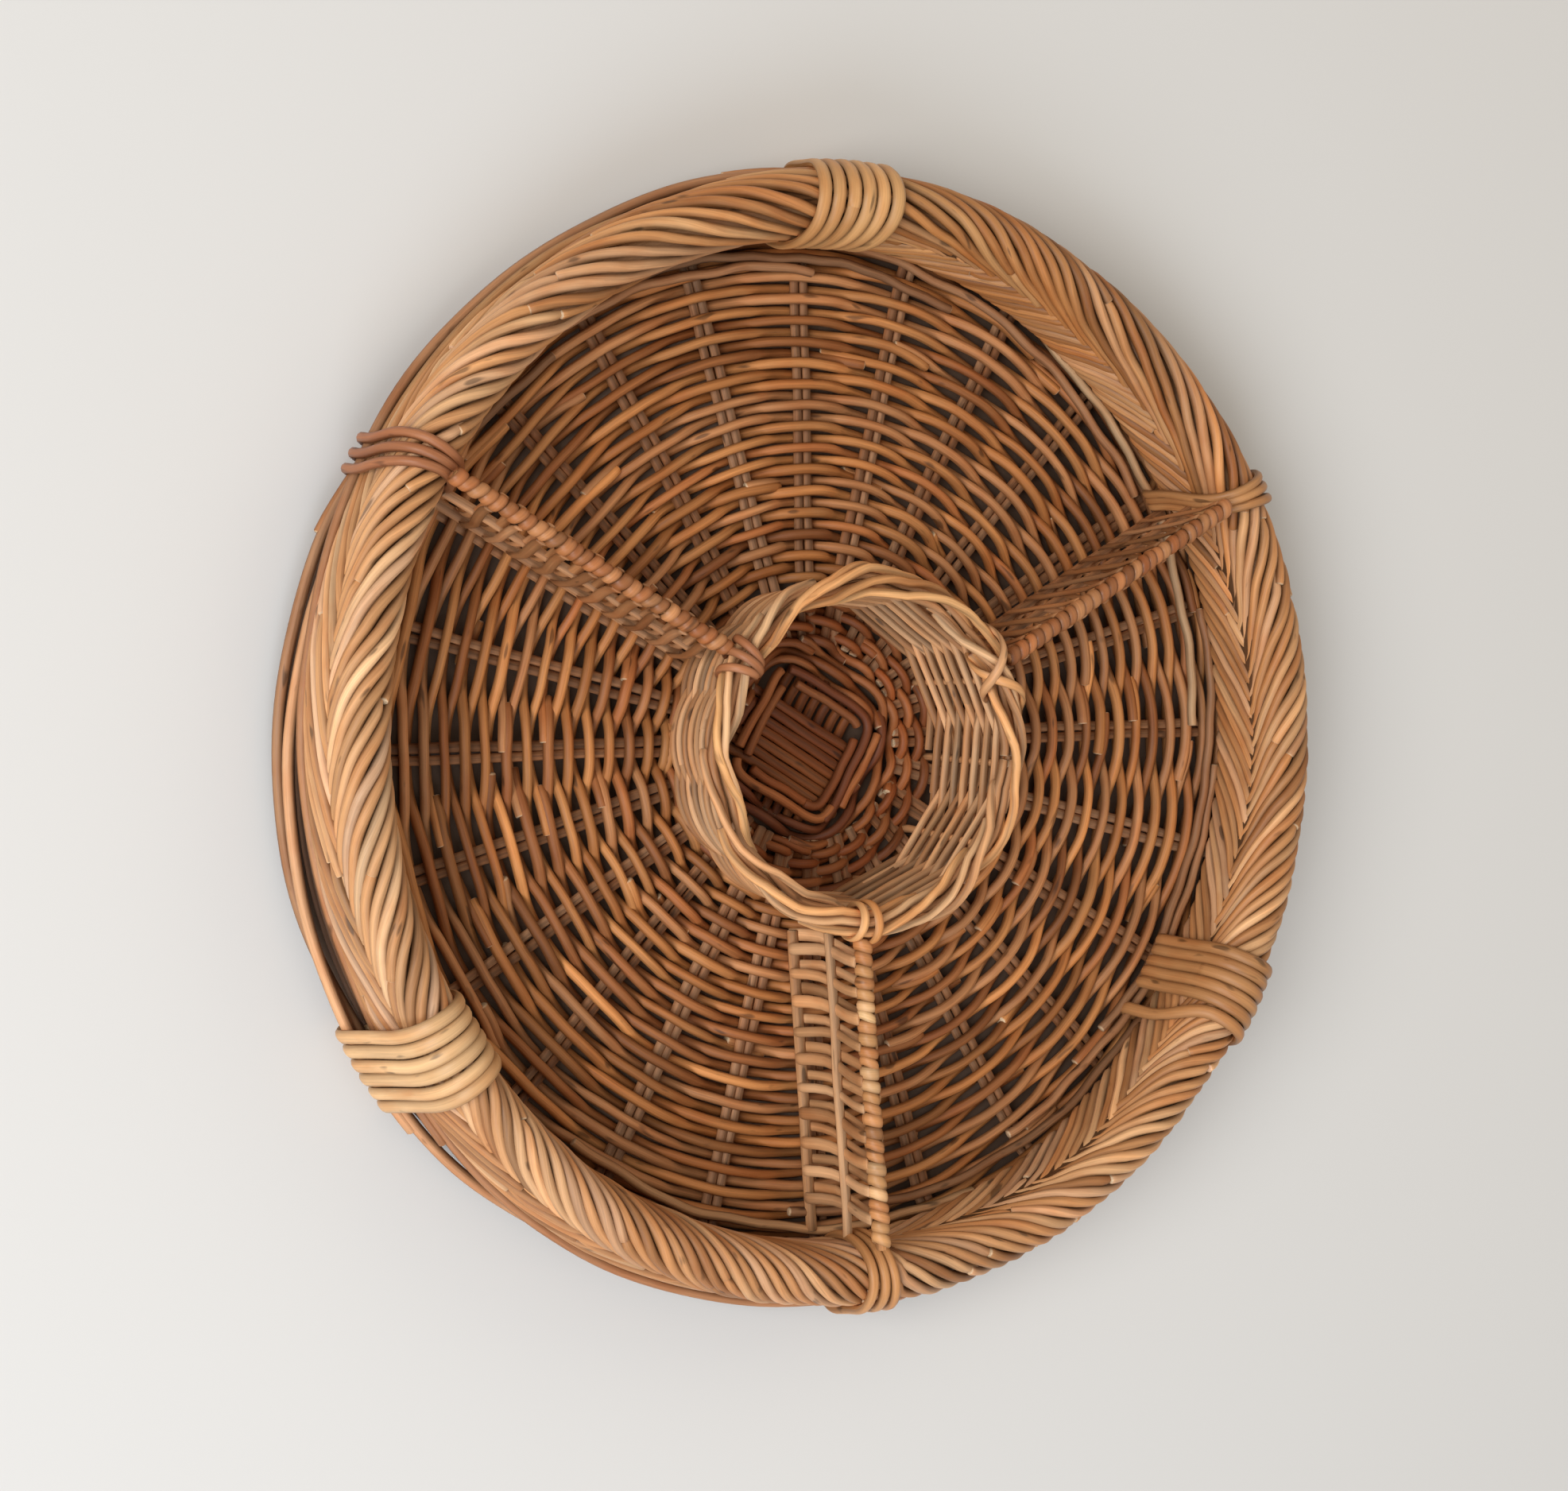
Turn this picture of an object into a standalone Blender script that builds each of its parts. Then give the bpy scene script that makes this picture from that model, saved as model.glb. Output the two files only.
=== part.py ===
"""A round wicker serving tray with a cup in the middle and three lattice dividers.

Run it with: blender --background --python part.py

Units are metres. The tray lies on z = 0 with its open side up, and the origin is the centre of its
underside. Angles are azimuths in degrees, from +X towards +Y. A "section" is a shape in the upright
plane through the Z axis, given as (distance from the Z axis, height).
"""

import math

import bmesh
import bpy
from mathutils import Matrix, Vector

MM = 0.001
COLLECTION_NAME = "divided_wicker_tray"
MERGE_DISTANCE = 0.00001
CLEARANCE = 0.3 * MM

# Rim roll: an upright oval of plaited rods, laid over a hoop.
RIM_RADIUS = 201 * MM
RIM_HEIGHT = 33 * MM
RIM_HALF_WIDTH = 14 * MM
RIM_HALF_HEIGHT = 21.5 * MM
PLAIT_THICKNESS = 4.6 * MM
PLAIT_SEAM_ANGLE = 1.6
PLAIT_BOTTOM_OPENING = 22
RIM_CORE_RADIUS = 5 * MM
RIM_CORE_HEIGHT = 40 * MM
RING_STEPS = 48

# Floor: one thickness of weave over and under the stakes.
FLOOR_THICKNESS = 12.1 * MM
FLOOR_EDGE_RADIUS = 181.5 * MM
STAKE_HEIGHT = 6.1 * MM
STAKE_PAIRS = 24
STAKE_START_RADIUS = 38.5 * MM
STAKE_PAIR_WIDTH = 8.0 * MM
STAKE_THICKNESS = 4.0 * MM
STAKE_TOP = 31 * MM
FIRST_STAKE_AZIMUTH = 93.2

# Slath: two crossed rafts of sticks that fill a square hole in the cup's floor.
SLATH_SIDE = 40 * MM
SLATH_STICKS = 7
SLATH_AZIMUTH = -28
SLATH_RAFT_THICKNESS = 4.4 * MM
SLATH_LOWER_HEIGHT = 2.4 * MM
SLATH_UPPER_HEIGHT = 7.4 * MM

# Cup: a wavy wall, thicker over its own stakes, with a border of rods round its mouth.
CUP_WALL_OUTER = 64.6 * MM
CUP_WALL_INNER = 59.6 * MM
CUP_WAVE = 1.8 * MM
CUP_WAVES = 10
CUP_WALL_TOP = 51 * MM
CUP_BORDER_RADIUS = 63.5 * MM
CUP_BORDER_HEIGHT = 58 * MM
CUP_BORDER_HALF_WIDTH = 5.8 * MM
CUP_BORDER_HALF_HEIGHT = 6.6 * MM
CUP_FLOOR_RADIUS = 58.2 * MM

# Three long wale rods run round the outside, low down, and stand off on the -X side.
WALE_ROD_RADIUS = 2.5 * MM
WALE_RODS = {
    "side_wale_lower": (208.2 * MM, 8.0 * MM, 10.0 * MM),
    "side_wale_middle": (210.9 * MM, 13.3 * MM, 5.6 * MM),
    "side_wale_upper": (214.8 * MM, 18.6 * MM, 1.6 * MM),
}
WALE_BULGE_AZIMUTH = 190
WALE_POINTS = 48

# Bindings round the rim roll and the wale rods: name, azimuth, width in turns of cane.
CANE_THICKNESS = 4.0 * MM
CANE_PITCH = 5.9 * MM
BINDING_CLEARANCE = 1.3 * MM
BINDING_SIDES = 26
RIM_BINDINGS = {
    "rim_binding_top": (92.5, 6),
    "rim_binding_lower_right": (-29.5, 6),
    "rim_binding_lower_left": (-146.0, 6),
    "divider_hoop_left": (153.3, 3),
    "divider_hoop_right": (31.2, 2),
    "divider_hoop_bottom": (-86.2, 3),
}

# Dividers: name, azimuth at the cup, azimuth at the rim.
DIVIDERS = {
    "left": (153.6, 153.3),
    "right": (30.2, 31.4),
    "bottom": (-93.6, -87.8),
}
DIVIDER_START_RADIUS = 70.6 * MM
DIVIDER_END_RADIUS = 181.4 * MM
RAIL_START = 3.6 * MM
RAIL_OVERRUN = 4.2 * MM
RAIL_HEIGHT = 58 * MM
RAIL_CORE_RADIUS = 2.4 * MM
RAIL_BINDING_RADIUS = 4.5 * MM
FOOT_ROD_RADIUS = 2.3 * MM
MIDDLE_ROD_RADIUS = 2.0 * MM
MIDDLE_ROD_HEIGHT = 36 * MM
LATTICE_THICKNESS = 2.0 * MM
LATTICE_EDGE = 2.4 * MM
LATTICE_STRIPS = 14
LATTICE_STRIP_SHARE = 0.55
LATTICE_LEAN = 3.5 * MM

LASHING_THICKNESS = 2.8 * MM
LASHING_WIDTH_DEGREES = 8


def new_collection(name):
    collection = bpy.data.collections.new(name)
    bpy.context.scene.collection.children.link(collection)
    return collection


def new_material(name, colour, roughness):
    material = bpy.data.materials.new(name)
    material.use_nodes = True
    shader = material.node_tree.nodes["Principled BSDF"]
    shader.inputs["Base Color"].default_value = (*colour, 1.0)
    shader.inputs["Roughness"].default_value = roughness
    shader.inputs["Metallic"].default_value = 0.0
    material.diffuse_color = (*colour, 1.0)
    return material


def add_object(name, data, material, collection, parent=None):
    obj = bpy.data.objects.new(name, data)
    collection.objects.link(obj)
    obj.parent = parent
    if material:
        data.materials.append(material)
    return obj


def mesh_from_line(name, section, closed):
    """A line of edges in the XZ plane, for a Screw modifier to turn."""
    points = [(x, 0.0, z) for x, z in section]
    edges = [(i, i + 1) for i in range(len(points) - 1)]
    if closed:
        edges.append((len(points) - 1, 0))
    mesh = bpy.data.meshes.new(name)
    mesh.from_pydata(points, edges, [])
    return mesh


def turned(name, section, material, collection, closed, steps, degrees=360):
    """Turn a section round the Z axis, through a full ring or through part of one."""
    obj = add_object(name, mesh_from_line(name, section, closed), material, collection)
    screw = obj.modifiers.new("Turn", "SCREW")
    screw.steps = steps
    screw.render_steps = steps
    screw.angle = math.radians(degrees)
    screw.use_merge_vertices = degrees == 360
    screw.merge_threshold = MERGE_DISTANCE
    return obj


def thickened(obj, thickness, offset):
    """Give an open surface a thickness, outwards with offset 1 and inwards with offset -1."""
    solidify = obj.modifiers.new("Thickness", "SOLIDIFY")
    solidify.thickness = thickness
    solidify.offset = offset
    solidify.use_even_offset = True
    return obj


def rod(name, points, radius, material, collection, cyclic=False, resolution=2, parent=None):
    """A round rod along the points."""
    curve = bpy.data.curves.new(name, "CURVE")
    curve.dimensions = "3D"
    curve.bevel_depth = radius
    curve.bevel_resolution = resolution
    curve.use_fill_caps = True
    spline = curve.splines.new("POLY")
    spline.points.add(len(points) - 1)
    for point, place in zip(spline.points, points):
        point.co = (*place, 1.0)
    spline.use_cyclic_u = cyclic
    return add_object(name, curve, material, collection, parent)


def flat_outline(name, outlines, thickness, material, collection, parent=None):
    """A flat plate in the XY plane, from an outer outline and the outlines of its holes."""
    curve = bpy.data.curves.new(name, "CURVE")
    curve.dimensions = "2D"
    curve.fill_mode = "BOTH"
    curve.extrude = thickness / 2
    for outline in outlines:
        spline = curve.splines.new("POLY")
        spline.points.add(len(outline) - 1)
        for point, (x, y) in zip(spline.points, outline):
            point.co = (x, y, 0.0, 1.0)
        spline.use_cyclic_u = True
    return add_object(name, curve, material, collection, parent)


def oval_arc(centre, half_width, half_height, start, end, count):
    """Points on an upright oval, from start to end in degrees, 0 being the outer side."""
    points = []
    for i in range(count):
        angle = math.radians(start + (end - start) * i / (count - 1))
        points.append(
            (
                centre[0] + half_width * math.cos(angle),
                centre[1] + half_height * math.sin(angle),
            )
        )
    return points


def cut(obj, cutter):
    boolean = obj.modifiers.new("Cut", "BOOLEAN")
    boolean.operation = "DIFFERENCE"
    boolean.object = cutter


def wale_place(radius, bulge, azimuth):
    """Distance of a wale rod from the Z axis: it stands off on the bulging side."""
    turn = math.radians(azimuth - WALE_BULGE_AZIMUTH)
    share = (0.5 + 0.5 * math.cos(turn)) ** 2
    return radius + bulge * share


def binding_section(azimuth):
    """The closed line round the rim roll and the wale rods at this azimuth, clockwise."""
    ovals = [(RIM_RADIUS, RIM_HEIGHT, RIM_HALF_WIDTH, RIM_HALF_HEIGHT)]
    for radius, height, bulge in WALE_RODS.values():
        place = wale_place(radius, bulge, azimuth)
        ovals.append((place, height, WALE_ROD_RADIUS, WALE_ROD_RADIUS))
    section = []
    for i in range(BINDING_SIDES):
        angle = -2 * math.pi * i / BINDING_SIDES
        across, up = math.cos(angle), math.sin(angle)
        best_reach = -1.0
        for x, z, half_width, half_height in ovals:
            stretch = math.hypot(half_width * across, half_height * up)
            reach = (x - RIM_RADIUS) * across + (z - RIM_HEIGHT) * up + stretch
            if reach > best_reach:
                best_reach = reach
                touch = (
                    x + half_width**2 * across / stretch,
                    z + half_height**2 * up / stretch,
                )
        section.append(
            (
                touch[0] + BINDING_CLEARANCE * across,
                touch[1] + BINDING_CLEARANCE * up,
            )
        )
    return section


def make_rim(materials, parts):
    centre = (RIM_RADIUS, RIM_HEIGHT)
    courses = {
        "rim_plait_outer": (90 - PLAIT_SEAM_ANGLE, -90 + PLAIT_BOTTOM_OPENING),
        "rim_plait_inner": (270 - PLAIT_BOTTOM_OPENING, 90 + PLAIT_SEAM_ANGLE),
    }
    inner_half_width = RIM_HALF_WIDTH - PLAIT_THICKNESS
    inner_half_height = RIM_HALF_HEIGHT - PLAIT_THICKNESS
    for name, (start, end) in courses.items():
        outside = oval_arc(centre, RIM_HALF_WIDTH, RIM_HALF_HEIGHT, start, end, 8)
        inside = oval_arc(centre, inner_half_width, inner_half_height, end, start, 6)
        turned(name, outside + inside, materials["rim"], parts, True, RING_STEPS)
    core_centre = (RIM_RADIUS, RIM_CORE_HEIGHT)
    core_section = oval_arc(core_centre, RIM_CORE_RADIUS, RIM_CORE_RADIUS, 0, -300, 6)
    turned("rim_core_hoop", core_section, materials["stake"], parts, True, RING_STEPS)


def make_wale_rods(materials, parts):
    for name, (radius, height, bulge) in WALE_RODS.items():
        points = []
        for i in range(WALE_POINTS):
            azimuth = 360 * i / WALE_POINTS
            place = wale_place(radius, bulge, azimuth)
            turn = math.radians(azimuth)
            points.append((place * math.cos(turn), place * math.sin(turn), height))
        rod(name, points, WALE_ROD_RADIUS, materials["rim"], parts, cyclic=True, resolution=1)


def make_rim_bindings(materials, parts, tunnels):
    for name, (azimuth, turns) in RIM_BINDINGS.items():
        degrees = math.degrees(turns * CANE_PITCH / RIM_RADIUS)
        section = binding_section(azimuth)
        binding = turned(name, section, materials["cane"], parts, True, 2, degrees)
        thickened(binding, CANE_THICKNESS, 1)
        cut(binding, tunnels)
        binding.rotation_euler.z = math.radians(azimuth - degrees / 2)


def stake_pair_mesh(allowance):
    """Two stakes side by side as one oval bar, along +X and then up into the rim."""
    stations = [
        (STAKE_START_RADIUS - allowance, STAKE_HEIGHT, 0),
        (RIM_RADIUS - 11 * MM, STAKE_HEIGHT, 0),
        (RIM_RADIUS - 3.2 * MM, STAKE_HEIGHT + 3.2 * MM, 45),
        (RIM_RADIUS, STAKE_HEIGHT + 11 * MM, 90),
        (RIM_RADIUS, STAKE_TOP + allowance, 90),
    ]
    half_width = STAKE_PAIR_WIDTH / 2 + allowance
    half_thickness = STAKE_THICKNESS / 2 + allowance
    sides = 8
    corners = []
    for x, z, slope in stations:
        tilt = math.radians(slope)
        for i in range(sides):
            angle = 2 * math.pi * (i + 0.5) / sides
            across = half_width * math.cos(angle)
            off = half_thickness * math.sin(angle)
            corners.append((x - off * math.sin(tilt), across, z + off * math.cos(tilt)))
    faces = []
    for ring in range(len(stations) - 1):
        for i in range(sides):
            here = ring * sides
            after = (i + 1) % sides
            faces.append((here + i, here + after, here + sides + after, here + sides + i))
    faces.append(tuple(range(sides)))
    faces.append(tuple(range(len(corners) - sides, len(corners))))
    mesh = bpy.data.meshes.new("stake_pair")
    mesh.from_pydata(corners, [], faces)
    shape = bmesh.new()
    shape.from_mesh(mesh)
    bmesh.ops.recalc_face_normals(shape, faces=shape.faces)
    shape.to_mesh(mesh)
    shape.free()
    return mesh


def stake_turn(number):
    return Matrix.Rotation(math.radians(FIRST_STAKE_AZIMUTH + 360 / STAKE_PAIRS * number), 4, "Z")


def make_stake_pairs(materials, parts):
    mesh = stake_pair_mesh(0)
    mesh.materials.append(materials["stake"])
    for i in range(STAKE_PAIRS):
        pair = add_object(f"stake_pair_{i + 1:02d}", mesh, None, parts)
        pair.matrix_world = stake_turn(i)


def stake_tunnel_cutter(cutters):
    """The stake pairs, a little larger, to cut their way through the floor and the bindings."""
    pair = stake_pair_mesh(CLEARANCE)
    shape = bmesh.new()
    for i in range(STAKE_PAIRS):
        older = len(shape.verts)
        shape.from_mesh(pair)
        shape.verts.ensure_lookup_table()
        bmesh.ops.transform(shape, matrix=stake_turn(i), verts=shape.verts[older:])
    mesh = bpy.data.meshes.new("stake_tunnels")
    shape.to_mesh(mesh)
    shape.free()
    return add_object("stake_tunnels", mesh, None, cutters)


def slath_hole_cutter(cutters):
    shape = bmesh.new()
    side = SLATH_SIDE + 2 * CLEARANCE
    size = Matrix.Diagonal((side, side, 4 * FLOOR_THICKNESS, 1))
    turn = Matrix.Rotation(math.radians(SLATH_AZIMUTH), 4, "Z")
    bmesh.ops.create_cube(shape, size=1, matrix=turn @ size)
    mesh = bpy.data.meshes.new("slath_hole")
    shape.to_mesh(mesh)
    shape.free()
    return add_object("slath_hole", mesh, None, cutters)


def make_floor(materials, parts, cutters, tunnels):
    hole = slath_hole_cutter(cutters)
    inner = CUP_FLOOR_RADIUS + CLEARANCE
    section = [
        (inner, FLOOR_THICKNESS),
        (FLOOR_EDGE_RADIUS, FLOOR_THICKNESS),
        (FLOOR_EDGE_RADIUS, 0),
        (inner, 0),
    ]
    tray = turned("tray_floor_weave", section, materials["weave"], parts, True, RING_STEPS)
    cut(tray, tunnels)

    shape = bmesh.new()
    bmesh.ops.create_cone(
        shape,
        cap_ends=True,
        segments=RING_STEPS,
        radius1=CUP_FLOOR_RADIUS,
        radius2=CUP_FLOOR_RADIUS,
        depth=FLOOR_THICKNESS,
        matrix=Matrix.Translation((0, 0, FLOOR_THICKNESS / 2)),
    )
    mesh = bpy.data.meshes.new("cup_floor_weave")
    shape.to_mesh(mesh)
    shape.free()
    cup_floor = add_object("cup_floor_weave", mesh, materials["weave"], parts)
    cut(cup_floor, hole)
    cut(cup_floor, tunnels)


def raft_outline():
    """The end view of a raft of round sticks, side by side."""
    pitch = SLATH_SIDE / SLATH_STICKS
    half = SLATH_RAFT_THICKNESS / 2
    crest = []
    for stick in range(SLATH_STICKS):
        middle = -SLATH_SIDE / 2 + pitch * (stick + 0.5)
        for share, height in ((-0.5, 0.45), (-0.25, 0.9), (0.25, 0.9)):
            crest.append((middle + share * pitch, height * half))
    crest.append((SLATH_SIDE / 2, 0.45 * half))
    underside = [(x, -z) for x, z in reversed(crest)]
    return crest + underside


def make_slath(materials, parts):
    rafts = {
        "slath_sticks_upper": (SLATH_AZIMUTH, SLATH_UPPER_HEIGHT),
        "slath_sticks_lower": (SLATH_AZIMUTH + 90, SLATH_LOWER_HEIGHT),
    }
    for name, (azimuth, height) in rafts.items():
        raft = flat_outline(name, [raft_outline()], SLATH_SIDE, materials["weave"], parts)
        raft.rotation_euler = (math.radians(90), 0, math.radians(azimuth + 90))
        raft.location.z = height


def make_cup(materials, parts):
    count = CUP_WAVES * 6
    outer = []
    inner = []
    for i in range(count):
        turn = 2 * math.pi * i / count
        wave = CUP_WAVE * math.cos(CUP_WAVES * turn)
        outer_radius = CUP_WALL_OUTER + wave
        inner_radius = CUP_WALL_INNER - wave / 2
        outer.append((outer_radius * math.cos(turn), outer_radius * math.sin(turn)))
        inner.append((inner_radius * math.cos(turn), inner_radius * math.sin(turn)))
    bottom = FLOOR_THICKNESS + CLEARANCE
    height = CUP_WALL_TOP - bottom
    wall = flat_outline("cup_wall_weave", [outer, inner], height, materials["cup"], parts)
    wall.location.z = bottom + height / 2

    centre = (CUP_BORDER_RADIUS, CUP_BORDER_HEIGHT)
    section = oval_arc(centre, CUP_BORDER_HALF_WIDTH, CUP_BORDER_HALF_HEIGHT, 0, -320, 9)
    turned("cup_border", section, materials["cup"], parts, True, 40)


def make_divider(name, cup_azimuth, rim_azimuth, materials, parts):
    """One divider, built along the +X axis of a frame that runs from the cup to the rim."""
    start = Matrix.Rotation(math.radians(cup_azimuth), 3, "Z") @ Vector((DIVIDER_START_RADIUS, 0, 0))
    end = Matrix.Rotation(math.radians(rim_azimuth), 3, "Z") @ Vector((DIVIDER_END_RADIUS, 0, 0))
    run = end - start
    length = run.length
    frame = bpy.data.objects.new(f"divider_{name}_frame", None)
    frame.location = start
    frame.rotation_euler.z = math.atan2(run.y, run.x)
    parts.objects.link(frame)

    rail_end = length + RAIL_OVERRUN
    rail_points = [(RAIL_START, 0, RAIL_HEIGHT), (rail_end, 0, RAIL_HEIGHT)]
    rod(
        f"divider_{name}_rail",
        rail_points,
        RAIL_CORE_RADIUS,
        materials["stake"],
        parts,
        parent=frame,
    )
    inner = RAIL_CORE_RADIUS + CLEARANCE
    tube_length = rail_end - RAIL_START
    section = [
        (inner, tube_length),
        (RAIL_BINDING_RADIUS, tube_length),
        (RAIL_BINDING_RADIUS, 0),
        (inner, 0),
    ]
    binding = turned(f"divider_{name}_rail_binding", section, materials["cane"], parts, True, 10)
    binding.parent = frame
    binding.location = (RAIL_START, 0, RAIL_HEIGHT)
    binding.rotation_euler.y = math.radians(90)

    foot_height = FLOOR_THICKNESS + CLEARANCE + FOOT_ROD_RADIUS
    foot_points = [(0, 0, foot_height), (length, 0, foot_height)]
    rod(
        f"divider_{name}_foot_rod",
        foot_points,
        FOOT_ROD_RADIUS,
        materials["stake"],
        parts,
        parent=frame,
    )
    side_step = LATTICE_THICKNESS / 2 + CLEARANCE + MIDDLE_ROD_RADIUS
    middle_points = [(0, side_step, MIDDLE_ROD_HEIGHT), (length, side_step, MIDDLE_ROD_HEIGHT)]
    rod(
        f"divider_{name}_middle_rod",
        middle_points,
        MIDDLE_ROD_RADIUS,
        materials["stake"],
        parts,
        parent=frame,
    )

    low = foot_height + FOOT_ROD_RADIUS + CLEARANCE
    high = RAIL_HEIGHT - RAIL_BINDING_RADIUS - CLEARANCE
    left = CLEARANCE
    right = length - CLEARANCE
    outlines = [[(left, low), (right, low), (right, high), (left, high)]]
    pitch = (right - left - LATTICE_EDGE - LATTICE_LEAN) / LATTICE_STRIPS
    gap = pitch * (1 - LATTICE_STRIP_SHARE)
    for i in range(LATTICE_STRIPS):
        x = left + LATTICE_EDGE + pitch * i
        outlines.append(
            [
                (x + LATTICE_LEAN, low + LATTICE_EDGE),
                (x + LATTICE_LEAN + gap, low + LATTICE_EDGE),
                (x + gap, high - LATTICE_EDGE),
                (x, high - LATTICE_EDGE),
            ]
        )
    lattice = flat_outline(
        f"divider_{name}_lattice",
        outlines,
        LATTICE_THICKNESS,
        materials["cane"],
        parts,
        parent=frame,
    )
    lattice.rotation_euler.x = math.radians(90)


def make_lashing(name, azimuth, materials, parts):
    """A tie over the cup's border, open on its underside."""
    centre = (CUP_BORDER_RADIUS, CUP_BORDER_HEIGHT)
    reach = CLEARANCE + 0.2 * MM
    section = oval_arc(
        centre,
        CUP_BORDER_HALF_WIDTH + reach,
        CUP_BORDER_HALF_HEIGHT + reach,
        200,
        -20,
        9,
    )
    lashing = turned(
        f"cup_lashing_{name}", section, materials["cane"], parts, False, 2, LASHING_WIDTH_DEGREES
    )
    thickened(lashing, LASHING_THICKNESS, 1)
    lashing.rotation_euler.z = math.radians(azimuth - LASHING_WIDTH_DEGREES / 2)


def main():
    for obj in list(bpy.data.objects):
        bpy.data.objects.remove(obj, do_unlink=True)
    parts = new_collection(COLLECTION_NAME)
    cutters = new_collection("cutters")
    materials = {
        "rim": new_material("rim_willow", (0.60, 0.33, 0.13), 0.5),
        "weave": new_material("floor_willow", (0.36, 0.15, 0.05), 0.55),
        "stake": new_material("stake_willow", (0.33, 0.16, 0.08), 0.6),
        "cup": new_material("cup_willow", (0.52, 0.28, 0.13), 0.55),
        "cane": new_material("binding_cane", (0.66, 0.40, 0.17), 0.45),
    }
    make_rim(materials, parts)
    make_wale_rods(materials, parts)
    tunnels = stake_tunnel_cutter(cutters)
    make_rim_bindings(materials, parts, tunnels)
    make_stake_pairs(materials, parts)
    make_floor(materials, parts, cutters, tunnels)
    make_slath(materials, parts)
    make_cup(materials, parts)
    for name, (cup_azimuth, rim_azimuth) in DIVIDERS.items():
        make_divider(name, cup_azimuth, rim_azimuth, materials, parts)
        make_lashing(name, cup_azimuth, materials, parts)
    for cutter in cutters.objects:
        cutter.hide_render = True
        cutter.display_type = "WIRE"


main()
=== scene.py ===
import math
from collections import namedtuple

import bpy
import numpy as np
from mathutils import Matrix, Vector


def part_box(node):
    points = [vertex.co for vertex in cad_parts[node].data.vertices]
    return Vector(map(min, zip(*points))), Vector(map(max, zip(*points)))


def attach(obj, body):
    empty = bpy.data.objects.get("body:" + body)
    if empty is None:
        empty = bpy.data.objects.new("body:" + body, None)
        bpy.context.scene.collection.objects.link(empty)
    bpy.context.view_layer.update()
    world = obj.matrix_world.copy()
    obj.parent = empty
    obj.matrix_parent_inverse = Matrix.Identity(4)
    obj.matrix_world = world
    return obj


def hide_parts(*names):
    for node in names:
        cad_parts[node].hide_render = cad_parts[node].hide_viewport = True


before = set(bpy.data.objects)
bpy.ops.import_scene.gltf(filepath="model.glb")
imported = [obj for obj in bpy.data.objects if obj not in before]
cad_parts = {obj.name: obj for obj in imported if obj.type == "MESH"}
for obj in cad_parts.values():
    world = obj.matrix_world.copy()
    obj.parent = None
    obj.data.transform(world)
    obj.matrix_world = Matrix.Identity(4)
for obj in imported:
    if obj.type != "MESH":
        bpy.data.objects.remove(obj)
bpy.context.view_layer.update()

# The looks of a divided wicker tray: every rod, weaver and strip of cane is a strand of its own.
#
# Units are metres, and the tray lies on z = 0. An azimuth is an angle in degrees from +X towards +Y.
# A section is the upright plane through the Z axis at one azimuth. Round the rim roll, a section
# angle is 0 on the outer side, 90 on top and 180 on the inner side, towards the tray's middle.

MM = 0.001
RANDOM = np.random.default_rng(412)
draw = RANDOM.uniform

# ---- sizes, from the frame's pieces where they give them


def middle_height(node):
    """The height of a node's middle, to a tenth of a millimetre."""
    low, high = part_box(node)
    return round((low[2] + high[2]) / 2, 4)


RIM_HALF_WIDTH = 14 * MM
RIM_HALF_HEIGHT = 21.5 * MM
RIM_TOP_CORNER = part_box("rim_plait_outer")[1]
RIM_RADIUS = round(RIM_TOP_CORNER[0] - RIM_HALF_WIDTH, 4)
RIM_HEIGHT = round(RIM_TOP_CORNER[2] - RIM_HALF_HEIGHT, 4)
RIM_ROD_RADIUS = 2.2 * MM
RIM_CORNER_POWER = 5
RIM_CORE_HALF_WIDTH = 9.2 * MM
RIM_CORE_HALF_HEIGHT = 16.6 * MM
TOP_AZIMUTH = 92.5  # under the top binding, where the two halves of the rim's rods begin

STAKE_COUNT = 24
STAKE_STEP = 360 / STAKE_COUNT
FIRST_STAKE = 93.2
STAKE_HEIGHT = 6.1 * MM
STAKE_RADIUS = 1.95 * MM

WEAVER_RADIUS = 2.15 * MM
WEAVER_PITCH = 4.15 * MM
WEAVER_LIFT = 3.95 * MM
WEAVER_LAP = 9 * MM
WEAVER_STEP = 2.6 * MM
WEAVER_LENGTHS = (300 * MM, 620 * MM)
SHORTEST_SPAN = 40
FLOOR_START = 61.0 * MM
FLOOR_ROWS = 33
CORNER_RODS = 11
CORNER_ROD_SPAN = 58

SLATH_AZIMUTH = -28
SLATH_CENTRE = np.array([-4.6, -1.6, 0.0]) * MM
SLATH_STICKS = 7
SLATH_UPPER_HEIGHT = middle_height("slath_sticks_upper")
SLATH_LOWER_HEIGHT = 2.6 * MM
SLATH_REACH = 28 * MM
SLATH_ROD_RADIUS = 1.95 * MM

CUP_WALL_LOW = 11.5 * MM
CUP_WALL_TOP = 52.0 * MM
CUP_BASE_RADIUS = 57.6 * MM
CUP_BASE_CENTRE = np.array([-3.9, -1.9, 0.0]) * MM
CUP_MOUTH_RADIUS = 62.6 * MM
CUP_MOUTH_CENTRE = np.array([-3.5, -3.4, 0.0]) * MM
CUP_STAKES = 12
CUP_STAKE_AZIMUTH = -3
CUP_ROD_RADIUS = 1.55 * MM
CUP_CLIMB = 5.7 * MM
CUP_BORDER_HALF_WIDTH = 5.8 * MM
CUP_BORDER_HALF_HEIGHT = 6.6 * MM
CUP_BORDER_RADIUS = round(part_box("cup_border")[1][0] - CUP_BORDER_HALF_WIDTH, 4)
CUP_BORDER_HEIGHT = middle_height("cup_border")
CUP_BORDER_ROD_RADIUS = 1.7 * MM
CUP_BORDER_RODS = 16

RAIL_HEIGHT = middle_height("divider_left_rail")
FOOT_HEIGHT = middle_height("divider_left_foot_rod")
MIDDLE_ROD_HEIGHT = middle_height("divider_left_middle_rod")

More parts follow.
